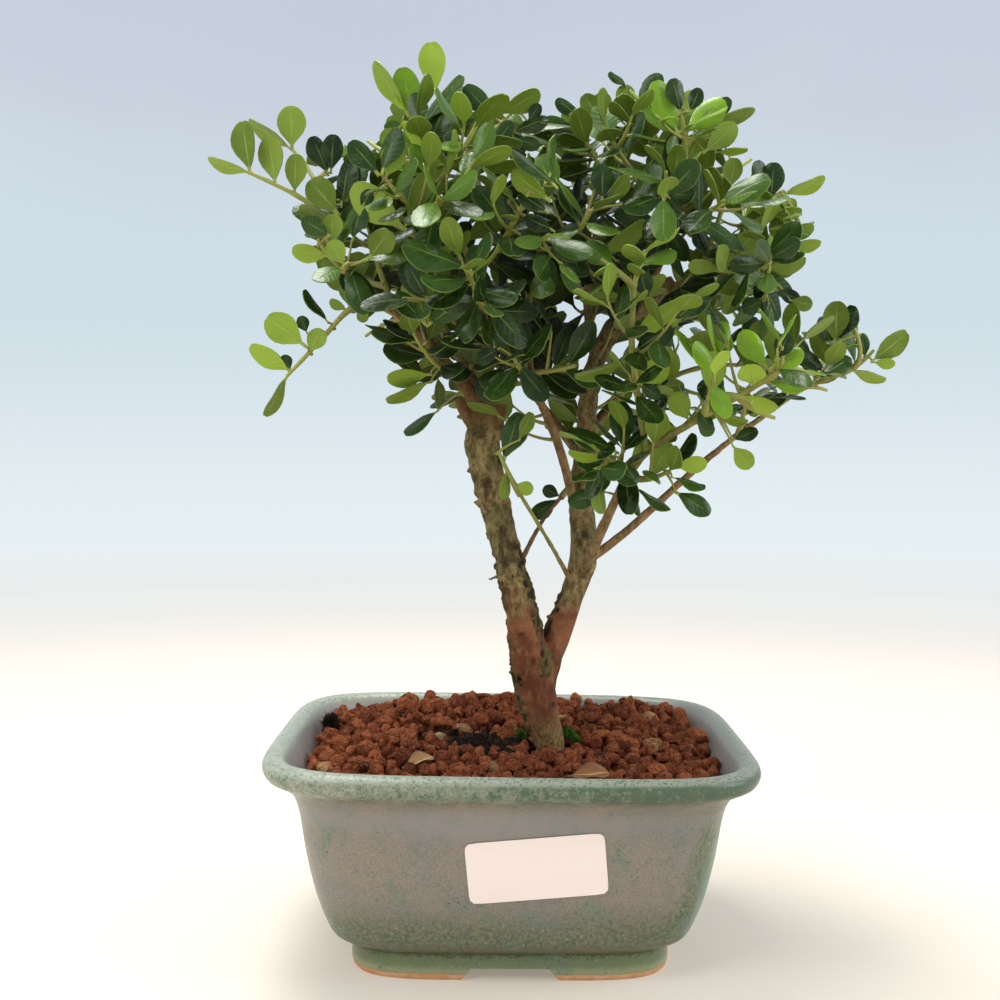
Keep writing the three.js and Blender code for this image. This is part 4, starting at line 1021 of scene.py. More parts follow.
leaf = {
    "length": 14.0,
    "widthRatio": 0.57,
    "arch": 0.16,
    "thickness": 0.3,
    "gap": 0.3,
    "shootRadius": 0.9,
    "tipSpacing": 4.5,
    "nodeSpacing": 11.0,
    "nodeTurn": math.radians(85),
    "pairTurn": math.radians(150),
    "leafReach": 4.1,  # mm that the solids' blades stay from each other
    "stemReach": 2.6,
    "extraReach": 2.3,  # the same for the leaves that are only here
    "golden": math.radians(137.5),
    "extraSpacing": 3.8,
    "guidedReach": 1.8,
    "shown": 12.5,  # length of the leaves that the picture shows foreshortened
    "lift": 0.55,  # how much a blade turns its upper face to the sky
    "margin": 4.2,  # mm, further than any leaf reaches
    "tries": 14,  # places that are tried for a leaf of the solids
    "extraTries": 7,
    "twigTries": 6,
    "twigRadius": 0.5,
    "share": 0.62,  # of those distances that the leaves which are only here keep
    "lowestTwig": 118,  # mm above the floor
    "lowestInner": 150,
    "stalkBack": (0.07, 0.02),  # of the length: of the leaves from the picture, of the others
    "bend": 0.45,  # how far along a shoot's length its first heading carries
    "forkAt": (0.3, 0.12),  # of a spray's length: its first side shoot, the step to the next
    "freshLength": 9,  # mm from the tip
    "twigSpacing": 6.5,
    "twigLength": (9, 15),
    "innerSpacing": 5.5,
    "innerLength": (14, 24),
    "innerGroups": 4,
}
stalk = {"sides": 8, "step": 1.6, "sunk": 1.2, "scarEvery": 4.2, "scarRise": 0.16}  # mm

crown = {"centre": (0, 10, 200), "radii": (80, 56, 58)}  # leaves deep inside it get painted shade: their colour darkens towards near black

# The limb each spray grows on, how far along it, how fresh its tips are, and where its shoots end
sprays = [
    ("leftArm", 1, 0.35, (-75, -27, 224), (-65, -8, 235)),
    ("leftArm", 0.82, 0.3, (-54, -34, 205), (-46, -44, 196)),
    ("leftArm", 0.7, 0.45, (-64, -33, 168)),
    ("leftArm", 0.2, 0.15, (-28, -26, 180)),
    ("leftArm", 0.6, 0.3, (-43, -4, 213), (-58, 8, 211)),
    ("leftLeader", 1, 0.95, (-29, -22, 248), (-20, -13, 246)),
    ("leftLeader", 0.8, 0.6, (-9, -30, 241), (0, -16, 245)),
    ("leftLeader", 0.62, 0.4, (-35, -45, 220), (-20, -55, 213)),
    ("leftLeader", 0.5, 0.4, (4, -46, 217)),
    ("leftLeader", 0.36, 0.15, (-12, -58, 194), (-29, -53, 187)),
    ("leftLeader", 0.88, 0.6, (-43, -6, 238), (-27, 5, 246)),
    ("leftBack", 1, 0.3, (-40, 60, 213), (-23, 62, 217)),
    ("leftBack", 0.75, 0.2, (-54, 37, 201), (-49, 47, 185)),
    ("leftBack", 0.6, 0.3, (-31, 29, 229), (-48, 21, 223)),
    ("leftBack", 0.4, 0.1, (-34, 23, 169)),
    ("backMid", 1, 0.3, (-12, 68, 198), (6, 67, 200)),
    ("backMid", 0.75, 0.2, (-12, 57, 166)),
    ("backMid", 0.6, 0.3, (22, 60, 176)),
    ("backMid", 0.45, 0.2, (0, 30, 208)),
    ("topBack", 1, 0.35, (31, 44, 248), (14, 46, 245)),
    ("topBack", 0.8, 0.3, (47, 47, 231), (57, 34, 241)),
    ("topBack", 0.6, 0.3, (1, 41, 225), (-7, 27, 240)),
    ("topBack", 0.72, 0.3, (19, 17, 248)),
    ("rightTop", 1, 0.9, (47, -20, 243), (58, -10, 245)),
    ("rightTop", 0.78, 0.35, (34, 1, 250), (47, 15, 248)),
    ("rightTop", 0.62, 0.3, (25, -25, 238), (16, -12, 245)),
    ("rightTop", 0.45, 0.3, (40, -44, 222), (56, -41, 215)),
    ("rightTop", 0.85, 0.4, (72, 7, 236)),
    ("innerTop", 1, 0.35, (10, -5, 238), (-6, 6, 235)),
    ("innerTop", 0.8, 0.35, (21, -36, 213), (9, -45, 205)),
    ("innerTop", 0.5, 0.1, (0, -34, 173), (17, -33, 171)),
    ("rightArm", 1, 0.55, (78, -7, 224), (85, 3, 211)),
    ("rightArm", 0.35, 0.35, (63, -8, 226)),
    ("rightArm", 0.72, 0.25, (74, -17, 197), (70, -33, 197)),
    ("rightArm", 0.8, 0.3, (87, 22, 216), (74, 30, 225)),
    ("backRight", 1, 0.3, (66, 62, 203), (79, 50, 199)),
    ("backRight", 0.75, 0.3, (41, 63, 196), (31, 61, 212)),
    ("backRight", 0.6, 0.2, (66, 38, 165), (81, 36, 175)),
    ("frontRight", 1, 0.5, (72, -42, 176), (79, -36, 170)),
    ("frontRight", 0.76, 0.95, (54, -44, 172), (64, -43, 161)),
    ("frontRight", 0.42, 0.3, (44, -27, 142)),
    ("frontRight", 0.46, 0.1, (22, -31, 149)),
    ("frontRight", 0.88, 0.4, (73, -29, 157)),
    ("lowRight", 1, 0.5, (112, 13, 179), (103, 4, 186)),
    ("lowRight", 0.78, 0.2, (91, 29, 176), (101, 27, 167)),
    ("lowRight", 0.62, 0.2, (71, 1, 167)),
    ("frontStem", 1, 0.6, (35, -43, 201), (23, -42, 199)),
    ("greenTwig", 1, 0.2, (-4, -15, 147)),
    ("backTwig", 1, 0.1, (24, 21, 144)),
]

# Sprays whose stems stand out in the picture: the pixels they pass after their start
seenStems = {
    0: [(326, 229), (312, 206), (296, 195), (272, 183), (250, 173)],
    2: [(351, 309), (327, 333), (305, 357), (287, 376)],
}

quarter = math.pi / 2
inset = math.sqrt(0.5)


def chance(a, b):
    # a repeatable number from 0 to 1 for each pair of whole numbers
    wave = math.sin(a * 12.9898 + b * 78.233 + 4.1) * 43758.5453
    return wave - math.floor(wave)


class Shoot:
    # a bent line in one plane, with the leaves and side shoots that grow from it
    def __init__(self, start, heading, end, radius, seed, fresh):
        start, end = np.asarray(start, float), np.asarray(end, float)
        middle = start + heading * np.linalg.norm(end - start) * leaf["bend"]
        self.path = bentLine(start, middle, end)
        plane = np.cross(heading, end - start)
        if np.linalg.norm(plane) < 0.5:
            plane = np.cross(heading, up)
        self.across = unit(plane)
        self.radius, self.seed, self.fresh = radius, seed, fresh
        self.heading = heading
        self.poses, self.sides, self.nodes = [], [], []
        self.guided, self.guidedTwigs = [], []

    def frameAt(self, place):
        centre, axis = self.path.at(place)[0], self.path.tangent(place)[0]
        normal = unit(np.cross(self.across, axis))
        return centre, axis, lambda angle: normal * math.cos(angle) + self.across * math.sin(angle)

    def width(self, place):
        return self.radius * (1 - 0.25 * place)


taken = np.zeros((60000, 4))  # what leaves keep clear of: a place, and how far to stay from it
takenCount = 0


def keepClear(points, reach):
    global takenCount
    points = np.atleast_2d(points)
    taken[takenCount:takenCount + len(points), :3] = points
    taken[takenCount:takenCount + len(points), 3] = reach
    takenCount += len(points)


def standsFree(samples, share=1.0, bark=1.2):
    if barkDistance(samples).min() < bark:
        return False
    known = taken[:takenCount]
    low, high = samples.min(0) - leaf["margin"], samples.max(0) + leaf["margin"]
    near = known[((known[:, :3] > low) & (known[:, :3] < high)).all(1)]
    if not len(near):
        return True
    gaps = np.linalg.norm(samples[:, None] - near[None, :, :3], axis=-1)
    return bool((gaps >= near[:, 3] * share).all())


def leafPose(root, axis, radial, tilt, length, lift=leaf["lift"]):
    direction = axis * math.cos(tilt) + radial * math.sin(tilt)
    facing = axis + up * lift
    facing = unit(facing - direction * facing.dot(direction))
    side = unit(np.cross(facing, direction))
    return {"root": root, "direction": direction, "facing": facing, "side": side, "length": length}


def bladeSamples(pose):
    # the tip and points across the blade, the tip first
    half = leaf["widthRatio"] / 2 * pose["length"]
    spots = [(1, 0)] + [(s, w) for s in (0.34, 0.52, 0.7, 0.88) for w in (-0.75, 0, 0.75)]
    s, w = np.array(spots).T[:, :, None]
    drop = -leaf["arch"] * s * s * pose["length"]
    return (pose["root"] + s * pose["length"] * pose["direction"]
            + w * half * pose["side"] + drop * pose["facing"])


def nearestFace(angle):
    return (math.floor(angle / quarter + 0.5) - 1) % 4


def placeLeaf(shoot, place, turn, reachOut, seed):
    centre, axis, around = shoot.frameAt(place)
    for attempt in range(leaf["tries"]):
        wobble = [chance(seed, n + attempt * 17) - 0.5 for n in (1, 2, 3)]
        angle = turn + wobble[0] * (0.6 + attempt * 0.1)
        tilt = math.radians(reachOut + wobble[1] * 20)
        outward = 0 if place == 1 else shoot.width(place) * inset
        root = centre + around((nearestFace(angle) + 1) * quarter) * outward
        length = leaf["length"] * (1 + wobble[2] * 0.2) * (0.85 if place == 1 else 1)
        pose = leafPose(root, axis, around(angle), tilt, length)
        samples = bladeSamples(pose)
        if standsFree(samples):
            keepClear(samples, leaf["leafReach"])
            pose["fresh"] = freshness(shoot, place)
            return pose, nearestFace(angle)
    return None


def freshness(shoot, place):
    # the newest leaves stand within about a centimetre of the tip
    back = (1 - place) * shoot.path.length
    return shoot.fresh * math.exp(-(back / leaf["freshLength"]) ** 2)


def growMain(limbName, at, fresh, ends, seed):
    path = limbPaths[limbName]
    start = path.at(at)[0]
    radius = leaf["shootRadius"]
    end = np.array(ends[0], float)
    if at == 1:
        heading = path.tangent(1)[0]
        return Shoot(start + heading * (leaf["gap"] + 0.05), heading, end, radius, seed, fresh)
    heading = unit(unit(end - start) - up * 0.25)
    for step in range(60):
        shoot = Shoot(start + heading * step * 0.1, heading, end, radius, seed, fresh)
        centre, _, around = shoot.frameAt(0)
        corners = np.array([centre + around((k + 0.5) * quarter) * radius for k in range(4)])
        if barkDistance(corners).min() >= leaf["gap"]:
            break
    return shoot


def followPicture(shoot, pixels):
    # leads the shoot past the pixels at which the picture shows it, at evenly changing depth
    start, end = shoot.path.at(0)[0], shoot.path.at(1)[0]
    depths = np.linspace(start[1], end[1], len(pixels) + 1)[1:]
    seen = [sightPoint(px, py, y) for (px, py), y in zip(pixels, depths)]
    shoot.path = throughPoints([start, *seen])


def nodesAlong(length):
    # the places on a shoot where leaves grow, numbered from its tip
    backs = np.arange(leaf["tipSpacing"], length * 0.86, leaf["nodeSpacing"])
    return list(enumerate(1 - backs / length))


def growSpray(row, seed):
    limbName, at, fresh, *ends = row
    main = growMain(limbName, at, fresh, ends, seed * 3)
    if seed in seenStems:
        followPicture(main, seenStems[seed])
    length = main.path.length
    main.nodes = nodesAlong(length)
    first, step = leaf["forkAt"]
    for i, end in enumerate(ends[1:]):
        place = first + step * i
        centre, axis, around = main.frameAt(place)
        away = np.array(end, float) - centre
        angle = math.atan2(away.dot(main.across), away.dot(around(0)))
        outward = around((nearestFace(angle) + 1) * quarter)
        heading = unit(axis * 0.7 + outward)
        start = centre + outward * main.width(place) * inset
        fork = Shoot(start, heading, end, leaf["shootRadius"], seed * 3 + i + 1, fresh * 0.9)
        fork.nodes = nodesAlong(fork.path.length)
        main.sides.append(fork)
        main.nodes = [(k, node) for k, node in main.nodes if abs(node - place) * length > 3]
    return main


def leafOut(shoot):
    # the leaves that the solids have too: one at the tip and pairs along the shoot
    tip = placeLeaf(shoot, 1, shoot.seed * 2.4 + 2, 16, shoot.seed * 41)
    if tip:
        shoot.poses.append(tip[0])
    for i, (turnIndex, place) in enumerate(shoot.nodes):
        faces = []
        for half in (0, 1):
            turn = shoot.seed * 2.4 + turnIndex * leaf["nodeTurn"] + half * leaf["pairTurn"]
            made = placeLeaf(shoot, place, turn, 44 if i == 0 else 58,
                             shoot.seed * 41 + i * 2 + half + 1)
            if made and made[1] not in faces:
                faces.append(made[1])
                shoot.poses.append(made[0])
    for side in shoot.sides:
        leafOut(side)


# The leaves that stand out in the picture, by the spray they grow on: the pixels where each
# starts and ends, how wide it looks, which side shows (u for the underside, t for the upper
# side), how fresh it is from 0 to 9, and + or - if its tip comes nearer or goes further off
guidedLeaves = {
    0: [(246, 175, 208, 158, 12, "u4"), (252, 170, 243, 121, 23, "u2"),
        (274, 184, 269, 136, 25, "u2"), (295, 196, 296, 154, 22, "u0"),
        (295, 146, 291, 106, 29, "u4"), (292, 145, 249, 120, 13, "u3"),
        (306, 164, 323, 147, 21, "u4-"), (328, 174, 312, 136, 20, "t0"),
        (331, 172, 333, 134, 22, "t1"), (338, 214, 292, 209, 19, "t0"),
        (337, 213, 310, 180, 30, "u1"), (341, 205, 350, 160, 20, "t0"),
        (347, 200, 361, 158, 17, "t1")],
    1: [(330, 236, 302, 219, 20, "t1"), (331, 255, 292, 250, 18, "u5"),
        (333, 244, 332, 214, 21, "u4"), (345, 266, 330, 241, 25, "u4"),
        (362, 285, 355, 252, 23, "u3"), (352, 276, 324, 268, 10, "t0"),
        (352, 240, 362, 206, 14, "t0")],
    2: [(328, 322, 305, 289, 9, "t0"), (304, 345, 267, 317, 31, "u5"),
        (307, 333, 300, 316, 16, "t1"), (306, 352, 322, 329, 20, "u3"),
        (289, 371, 250, 346, 20, "u6"), (289, 371, 283, 355, 20, "t1"),
        (287, 378, 264, 416, 12, "u3"), (345, 308, 330, 300, 10, "u3"),
        (350, 307, 342, 279, 11, "u3"), (357, 307, 366, 322, 12, "u3"),
        (352, 300, 345, 268, 16, "t0")],
    3: [(422, 340, 371, 331, 12, "t1"), (427, 361, 383, 347, 19, "t1"),
        (430, 374, 387, 379, 18, "u5"), (431, 381, 386, 401, 12, "u4"),
        (436, 370, 444, 340, 15, "u3"), (428, 342, 440, 310, 18, "u3"),
        (437, 411, 404, 434, 11, "t0")],
    5: [(408, 114, 374, 62, 15, "u5"), (414, 117, 402, 67, 28, "t9"),
        (436, 92, 431, 42, 27, "u7"), (421, 126, 462, 75, 16, "t1"),
        (431, 151, 452, 90, 27, "t0"), (448, 114, 468, 98, 19, "u8"),
        (424, 156, 402, 122, 15, "u7"), (440, 166, 494, 159, 20, "u6"),
        (437, 192, 434, 152, 25, "u5"), (410, 112, 396, 96, 12, "u7"),
        (400, 126, 382, 145, 18, "u4"), (404, 124, 384, 128, 12, "t3")],
    6: [(493, 117, 465, 85, 22, "t0"), (500, 114, 540, 92, 20, "u3"),
        (490, 138, 470, 114, 24, "u2"), (496, 142, 512, 121, 16, "t1"),
        (486, 128, 464, 122, 12, "t0"), (497, 150, 506, 176, 16, "t0"),
        (512, 132, 548, 118, 15, "t0"), (514, 138, 540, 146, 14, "t0"),
        (528, 122, 540, 104, 13, "t1")],
    7: [(386, 177, 398, 144, 25, "u5"), (404, 228, 352, 186, 33, "u4"),
        (407, 222, 428, 172, 23, "u1"), (378, 174, 350, 141, 22, "t0"),
        (382, 172, 398, 128, 22, "t0"), (360, 208, 372, 190, 14, "t1")],
    8: [(556, 186, 512, 149, 13, "t0"), (549, 200, 512, 171, 21, "u4"),
        (548, 212, 519, 193, 15, "t0"), (554, 231, 525, 216, 17, "t0"),
        (545, 250, 522, 232, 18, "t0"), (466, 240, 508, 206, 24, "u5")],
    9: [(468, 268, 403, 242, 27, "t0"), (497, 312, 470, 281, 24, "t0"),
        (495, 316, 506, 338, 18, "t0"), (425, 323, 396, 293, 20, "t0"),
        (428, 325, 466, 296, 27, "t1"), (470, 308, 440, 286, 22, "t0"),
        (485, 305, 468, 330, 18, "t0"), (436, 300, 418, 270, 18, "u2"),
        (470, 345, 492, 372, 16, "u1")],
    23: [(678, 133, 656, 80, 26, "t9"), (681, 134, 724, 99, 26, "t9"),
         (676, 134, 642, 108, 13, "t3"), (704, 124, 755, 110, 13, "u3"),
         (704, 152, 736, 124, 23, "u3"), (683, 166, 700, 134, 22, "u3"),
         (716, 152, 748, 149, 7, "u6"), (682, 110, 673, 78, 18, "t0"),
         (690, 112, 700, 88, 16, "t0"), (712, 120, 730, 98, 16, "t0"),
         (668, 181, 674, 132, 22, "t1"), (729, 189, 735, 158, 20, "u3")],
    24: [(627, 86, 609, 72, 8, "t0"), (626, 113, 623, 85, 21, "u1"),
         (640, 104, 660, 73, 20, "t1"), (604, 124, 583, 95, 20, "u1"),
         (612, 126, 642, 142, 16, "t0"), (622, 128, 598, 130, 14, "t0")],
    22: [(592, 127, 606, 93, 22, "u1"), (582, 118, 556, 99, 13, "t0"),
         (580, 130, 555, 128, 13, "t0"), (575, 135, 545, 118, 16, "t1"),
         (590, 140, 570, 152, 14, "t0")],
    28: [(554, 176, 588, 170, 17, "u3"), (556, 174, 582, 152, 20, "t0"),
         (556, 180, 574, 205, 14, "t0"), (560, 222, 545, 232, 16, "u3"),
         (590, 146, 566, 138, 15, "t0")],
    29: [(598, 256, 646, 221, 18, "u5"), (600, 252, 570, 232, 13, "t0"),
         (620, 298, 606, 260, 12, "u4"), (606, 202, 628, 176, 15, "u2"),
         (602, 200, 603, 164, 24, "t0"), (632, 204, 658, 164, 20, "t0"),
         (616, 260, 648, 272, 16, "t0")],
    30: [(524, 343, 577, 328, 25, "t0"), (525, 347, 550, 370, 20, "t0"),
         (520, 384, 475, 389, 32, "t0"), (517, 366, 547, 400, 24, "t0"),
         (526, 292, 506, 245, 25, "t0"), (520, 345, 548, 318, 18, "t0"),
         (500, 348, 476, 362, 16, "t0")],
    31: [(772, 201, 757, 160, 16, "t1"), (771, 200, 774, 162, 24, "t0"),
         (780, 197, 825, 178, 13, "u5"), (770, 215, 802, 211, 13, "u3"),
         (781, 236, 814, 227, 14, "u4"), (787, 248, 821, 243, 12, "u5"),
         (783, 252, 777, 215, 15, "u3"), (764, 268, 806, 260, 15, "u4"),
         (722, 266, 757, 231, 25, "u4")],
    33: [(750, 272, 792, 293, 20, "t0"), (716, 268, 694, 250, 22, "u5"),
         (776, 290, 800, 300, 14, "t0"), (765, 300, 742, 310, 18, "t0"),
         (790, 300, 812, 306, 16, "u2"), (728, 258, 700, 244, 14, "t0")],
    38: [(766, 367, 741, 331, 24, "t9"), (770, 369, 803, 350, 19, "t7"),
         (757, 392, 751, 364, 28, "u8+"), (763, 382, 805, 388, 11, "t9"),
         (741, 396, 777, 409, 16, "u6"), (765, 374, 778, 372, 7, "t9"),
         (733, 440, 758, 430, 14, "t0"), (733, 446, 751, 468, 20, "u5"),
         (775, 360, 790, 334, 20, "t1")],
    39: [(713, 402, 711, 351, 25, "u5"), (690, 423, 673, 393, 23, "u5"),
         (682, 428, 647, 424, 11, "u5"), (690, 419, 714, 433, 16, "t2"),
         (714, 410, 748, 422, 11, "u4"), (696, 410, 712, 430, 14, "t0")],
    40: [(652, 478, 669, 442, 25, "u4"), (674, 466, 707, 463, 17, "u6"),
         (668, 468, 694, 433, 12, "t1"), (672, 477, 706, 487, 8, "t2"),
         (676, 492, 711, 513, 20, "t0"), (636, 488, 671, 509, 9, "t1"),
         (634, 488, 640, 516, 7, "t0")],
    41: [(617, 452, 571, 431, 18, "t1"), (617, 456, 568, 451, 9, "u5"),
         (624, 450, 621, 401, 25, "t1"), (630, 461, 650, 440, 14, "u5"),
         (622, 452, 646, 428, 12, "t1"), (604, 492, 568, 503, 20, "t0"),
         (598, 480, 602, 514, 14, "u3")],
    43: [(872, 361, 907, 332, 22, "u3"), (866, 360, 862, 333, 14, "t0"),
         (873, 362, 895, 364, 11, "u5"), (850, 371, 886, 380, 11, "u5"),
         (855, 366, 848, 316, 11, "t2"), (835, 343, 837, 301, 26, "u1"),
         (838, 342, 853, 305, 18, "t1"), (832, 350, 822, 316, 16, "t1"),
         (812, 372, 788, 332, 24, "t0"), (816, 378, 806, 350, 16, "t0"),
         (826, 372, 800, 352, 14, "t1")],
    46: [(637, 334, 685, 301, 26, "u5"), (638, 352, 672, 326, 26, "t0"),
         (638, 383, 668, 364, 28, "u5"), (632, 360, 574, 376, 12, "u3"),
         (648, 300, 640, 270, 20, "t0"), (640, 384, 660, 398, 14, "t0")],
    47: [(505, 461, 519, 412, 26, "t2"), (506, 470, 503, 500, 10, "u4"),
         (513, 484, 533, 491, 15, "u5"), (519, 440, 531, 412, 14, "u4")],
    48: [(562, 500, 531, 516, 17, "t1"), (560, 496, 543, 488, 14, "t0"),
         (566, 490, 583, 470, 18, "t0")],
}

# The crown's outline in the picture, which the other leaves keep inside
crownOutline = np.array([
    (296, 205), (318, 142), (350, 138), (374, 138), (388, 105), (412, 72), (440, 76), (470, 84),
    (497, 104), (525, 90), (545, 102), (573, 112), (590, 95), (610, 92), (632, 78), (655, 74),
    (690, 84), (722, 97), (735, 112), (732, 150), (760, 165), (785, 188), (800, 205), (812, 235),
    (800, 262), (790, 285), (806, 314), (832, 307), (856, 310), (862, 345), (850, 375), (820, 388),
    (790, 402), (760, 412), (740, 432), (722, 442), (700, 460), (680, 478), (650, 486), (620, 502),
    (600, 512), (570, 522), (540, 515), (532, 502), (550, 476), (560, 470), (548, 430), (530, 392),
    (515, 392), (505, 420), (497, 440), (470, 422), (440, 414), (400, 394), (385, 366), (385, 332),
    (345, 316), (332, 290), (312, 262), (300, 240)])


# Gaps that show the backdrop through the crown: pixel, half width, half height
crownGaps = np.array([
    (727, 217, 12, 17), (577, 305, 12, 6), (598, 323, 12, 11), (580, 320, 8, 5), (683, 347, 11, 10),
    (614, 346, 9, 8), (590, 347, 6, 5), (734, 370, 9, 20), (691, 370, 9, 17), (600, 362, 7, 8),
    (538, 372, 8, 10), (530, 410, 18, 22), (700, 397, 7, 8), (602, 396, 6, 6), (723, 428, 9, 12),
    (704, 445, 15, 10), (574, 462, 9, 10), (800, 349, 7, 16), (751, 186, 5, 6), (459, 125, 5, 6)]).T


def insideOutline(points):
    # whether a line to the right of each point's pixel crosses the outline an odd number of times
    # and the pixel is in none of the gaps
    px, py = onPicture(points).T[:, :, None]
    gapX, gapY, reachX, reachY = crownGaps
    inGap = (((px - gapX) / reachX) ** 2 + ((py - gapY) / reachY) ** 2 < 1).any(1)
    ax, ay = crownOutline.T
    bx, by = np.roll(crownOutline, -1, axis=0).T
    crosses = ((ay > py) != (by > py)) & (px < (bx - ax) * (py - ay) / (by - ay + 1e-9) + ax)
    return (crosses.sum(1) % 2 == 1) & ~inGap


def stemPoints(main, row):
    # places on a spray's shoots and on its limb, with how thick the wood is there
    u = np.linspace(0, 1, 40)
    found = [(shoot.path.at(u), shoot.radius * 0.7 * (1 - 0.25 * u))
             for shoot in [main, *main.sides]]
    limbName, at = row[:2]
    u = np.linspace(max(0, at - 0.35), min(1, at + 0.1), 40)
    found.append((limbPaths[limbName].at(u), radiusAlong(limbs[limbName][1], u) * wood["slim"]))
    return [np.concatenate(column) for column in zip(*found)]


def guideLeaf(main, row, spec):
    # the leaf's root is the stem's point nearest to the pixel where the leaf starts
    startX, startY, endX, endY, wide, look = spec
    fresh = int(look[1]) / 9
    points, radii = stemPoints(main, row)
    away = np.linalg.norm(onPicture(points) - (startX, startY), axis=1) + points[:, 1] * 0.06
    nearest = away.argmin()
    root, thick = points[nearest], radii[nearest]
    scale = view["focalPixels"] / (root[1] - view["place"][1])  # pixels to a millimetre there
    twig = None
    if np.linalg.norm(onPicture(root)[0] - (startX, startY)) > 3.0 + thick * scale:
        base = sightPoint(startX, startY, root[1] - 1.5)
        heading = unit(base - root + up * 1.5)
        twig = Shoot(root, heading, base, 0.42, 1, fresh)
        root, thick = base, 0.2
    flat = sightPoint(endX, endY, root[1]) - root
    length = max(np.linalg.norm(flat), leaf["shown"] if look[-1] in "+-" else 0)
    deep = math.sqrt(max(length ** 2 - flat.dot(flat), 0)) * (-1 if look[-1] == "+" else 1)
    tip = sightPoint(endX, endY, root[1] + deep)
    full = leaf["widthRatio"] * length
    share = min(1.0, max(0.15, wide / scale / full))
    half = max(full, min(wide / scale, length * 0.72)) / 2
    arch = 0.1
    for _ in range(2):
        direction = unit(tip - root)
        toEye = unit(np.array(view["place"]) - root)
        toEye = unit(toEye - direction * toEye.dot(direction))
        across = np.cross(direction, toEye)
        across = across if across[2] > 0 else -across
        sign = -1 if look[0] == "u" else 1
        facing = unit(sign * share * toEye + math.sqrt(1 - share ** 2) * across)
        tip = sightPoint(endX, endY, root[1] + deep) + facing * arch * length
    root = root + direction * thick
    length = np.linalg.norm(tip - root)
    return {"root": root, "direction": direction, "facing": facing,
            "side": np.cross(facing, direction), "length": length, "fresh": fresh,
            "half": half, "arch": arch}, twig


def growGuided(grown):
    # puts these leaves on their sprays and keeps their places clear
    for index, specs in guidedLeaves.items():
        main = grown[index]
        for spec in specs:
            pose, twig = guideLeaf(main, sprays[index], spec)
            keepClear(bladeSamples(pose), leaf["extraReach"])
            main.guided.append(pose)
            if twig:
                main.guidedTwigs.append(twig)


def clearOfGuided(grown):
    # drops the shared leaves that cross those leaves or leave the outline
    guided = np.concatenate([bladeSamples(pose)[1:] for main in grown for pose in main.guided])
    for main in grown:
        for shoot in [main, *main.sides]:
            kept = []
            for pose in shoot.poses:
                samples = bladeSamples(pose)[1:]
                gap = np.linalg.norm(samples[:, None] - guided[None], axis=-1).min()
                if gap > leaf["guidedReach"] and insideOutline(samples).mean() > 0.7:
                    kept.append(pose)
            shoot.poses = kept


def addLeaf(shoot, place, angle, tilt, length, rng, share):
    # a leaf that is only here: tries a few turns near the wanted one
    centre, axis, around = shoot.frameAt(place)
    for attempt in range(leaf["extraTries"]):
        turn = angle + rng.uniform(-0.5, 0.5) * (0.5 + attempt * 0.5)
        lean = tilt + rng.uniform(-0.25, 0.25)
        outward = around(turn)
        size = length * rng.uniform(0.86, 1.1) * (1 - 0.03 * attempt)
        pose = leafPose(centre + outward * shoot.width(place) * 0.7, axis, outward, lean, size,
                        rng.uniform(0.35, 0.9))
        samples = bladeSamples(pose)
        if standsFree(samples[1:], share, 0.8) and insideOutline(samples[1:]).all():
            keepClear(samples, leaf["extraReach"])
            pose["fresh"] = freshness(shoot, place)
            shoot.poses.append(pose)
            return


def fillShoot(shoot, rng, spacing, share, first=3.0):
    # more leaves at places between, each a golden turn from the last
    length = shoot.path.length
    turn = rng.uniform(0, 6.28)
    for k, back in enumerate(np.arange(first, length * 0.9, spacing)):
        place = 1 - back / length
        tilt = math.radians(34 + 24 * min(1, back / 10))
        addLeaf(shoot, place, turn + k * leaf["golden"], tilt, leaf["length"] * 0.95, rng, share)


def growTwig(parent, place, angle, length, rng, share):
    # a short side twig with its own leaves, if there is room for its stem and its end leaf
    centre, axis, around = parent.frameAt(place)
    for attempt in range(leaf["twigTries"]):
        turn = angle + rng.uniform(-0.6, 0.6) * (1 + attempt * 0.5)
        outward = around(turn)
        reach = length * (1 - 0.06 * attempt)
        heading = unit(axis * 0.5 + outward)
        end = centre + unit(axis * 0.55 + outward + up * 0.35) * reach
        if end[2] < leaf["lowestTwig"]:
            continue
        start = centre + outward * parent.width(place) * 0.5
        twig = Shoot(start, heading, end, leaf["twigRadius"], parent.seed * 7 + attempt,
                     parent.fresh * 0.85)
        stem = twig.path.at(np.linspace(0.3, 1, 5))
        if not standsFree(stem, share * 0.8, 1.0):
            continue
        endCentre, endAxis, endAround = twig.frameAt(1)
        pose = leafPose(endCentre, endAxis, endAround(rng.uniform(0, 6.28)),
                        math.radians(rng.uniform(8, 22)), leaf["length"] * rng.uniform(0.75, 0.95))
        samples = bladeSamples(pose)
        if not standsFree(samples[1:], share) or not insideOutline(samples[1:]).all():
            continue
        keepClear(samples, leaf["extraReach"])
        keepClear(stem, 1.4)
        pose["fresh"] = freshness(twig, 1)
        twig.poses.append(pose)
        parent.sides.append(twig)
        fillShoot(twig, rng, 3.3, share, 2.2)
        return twig
    return None


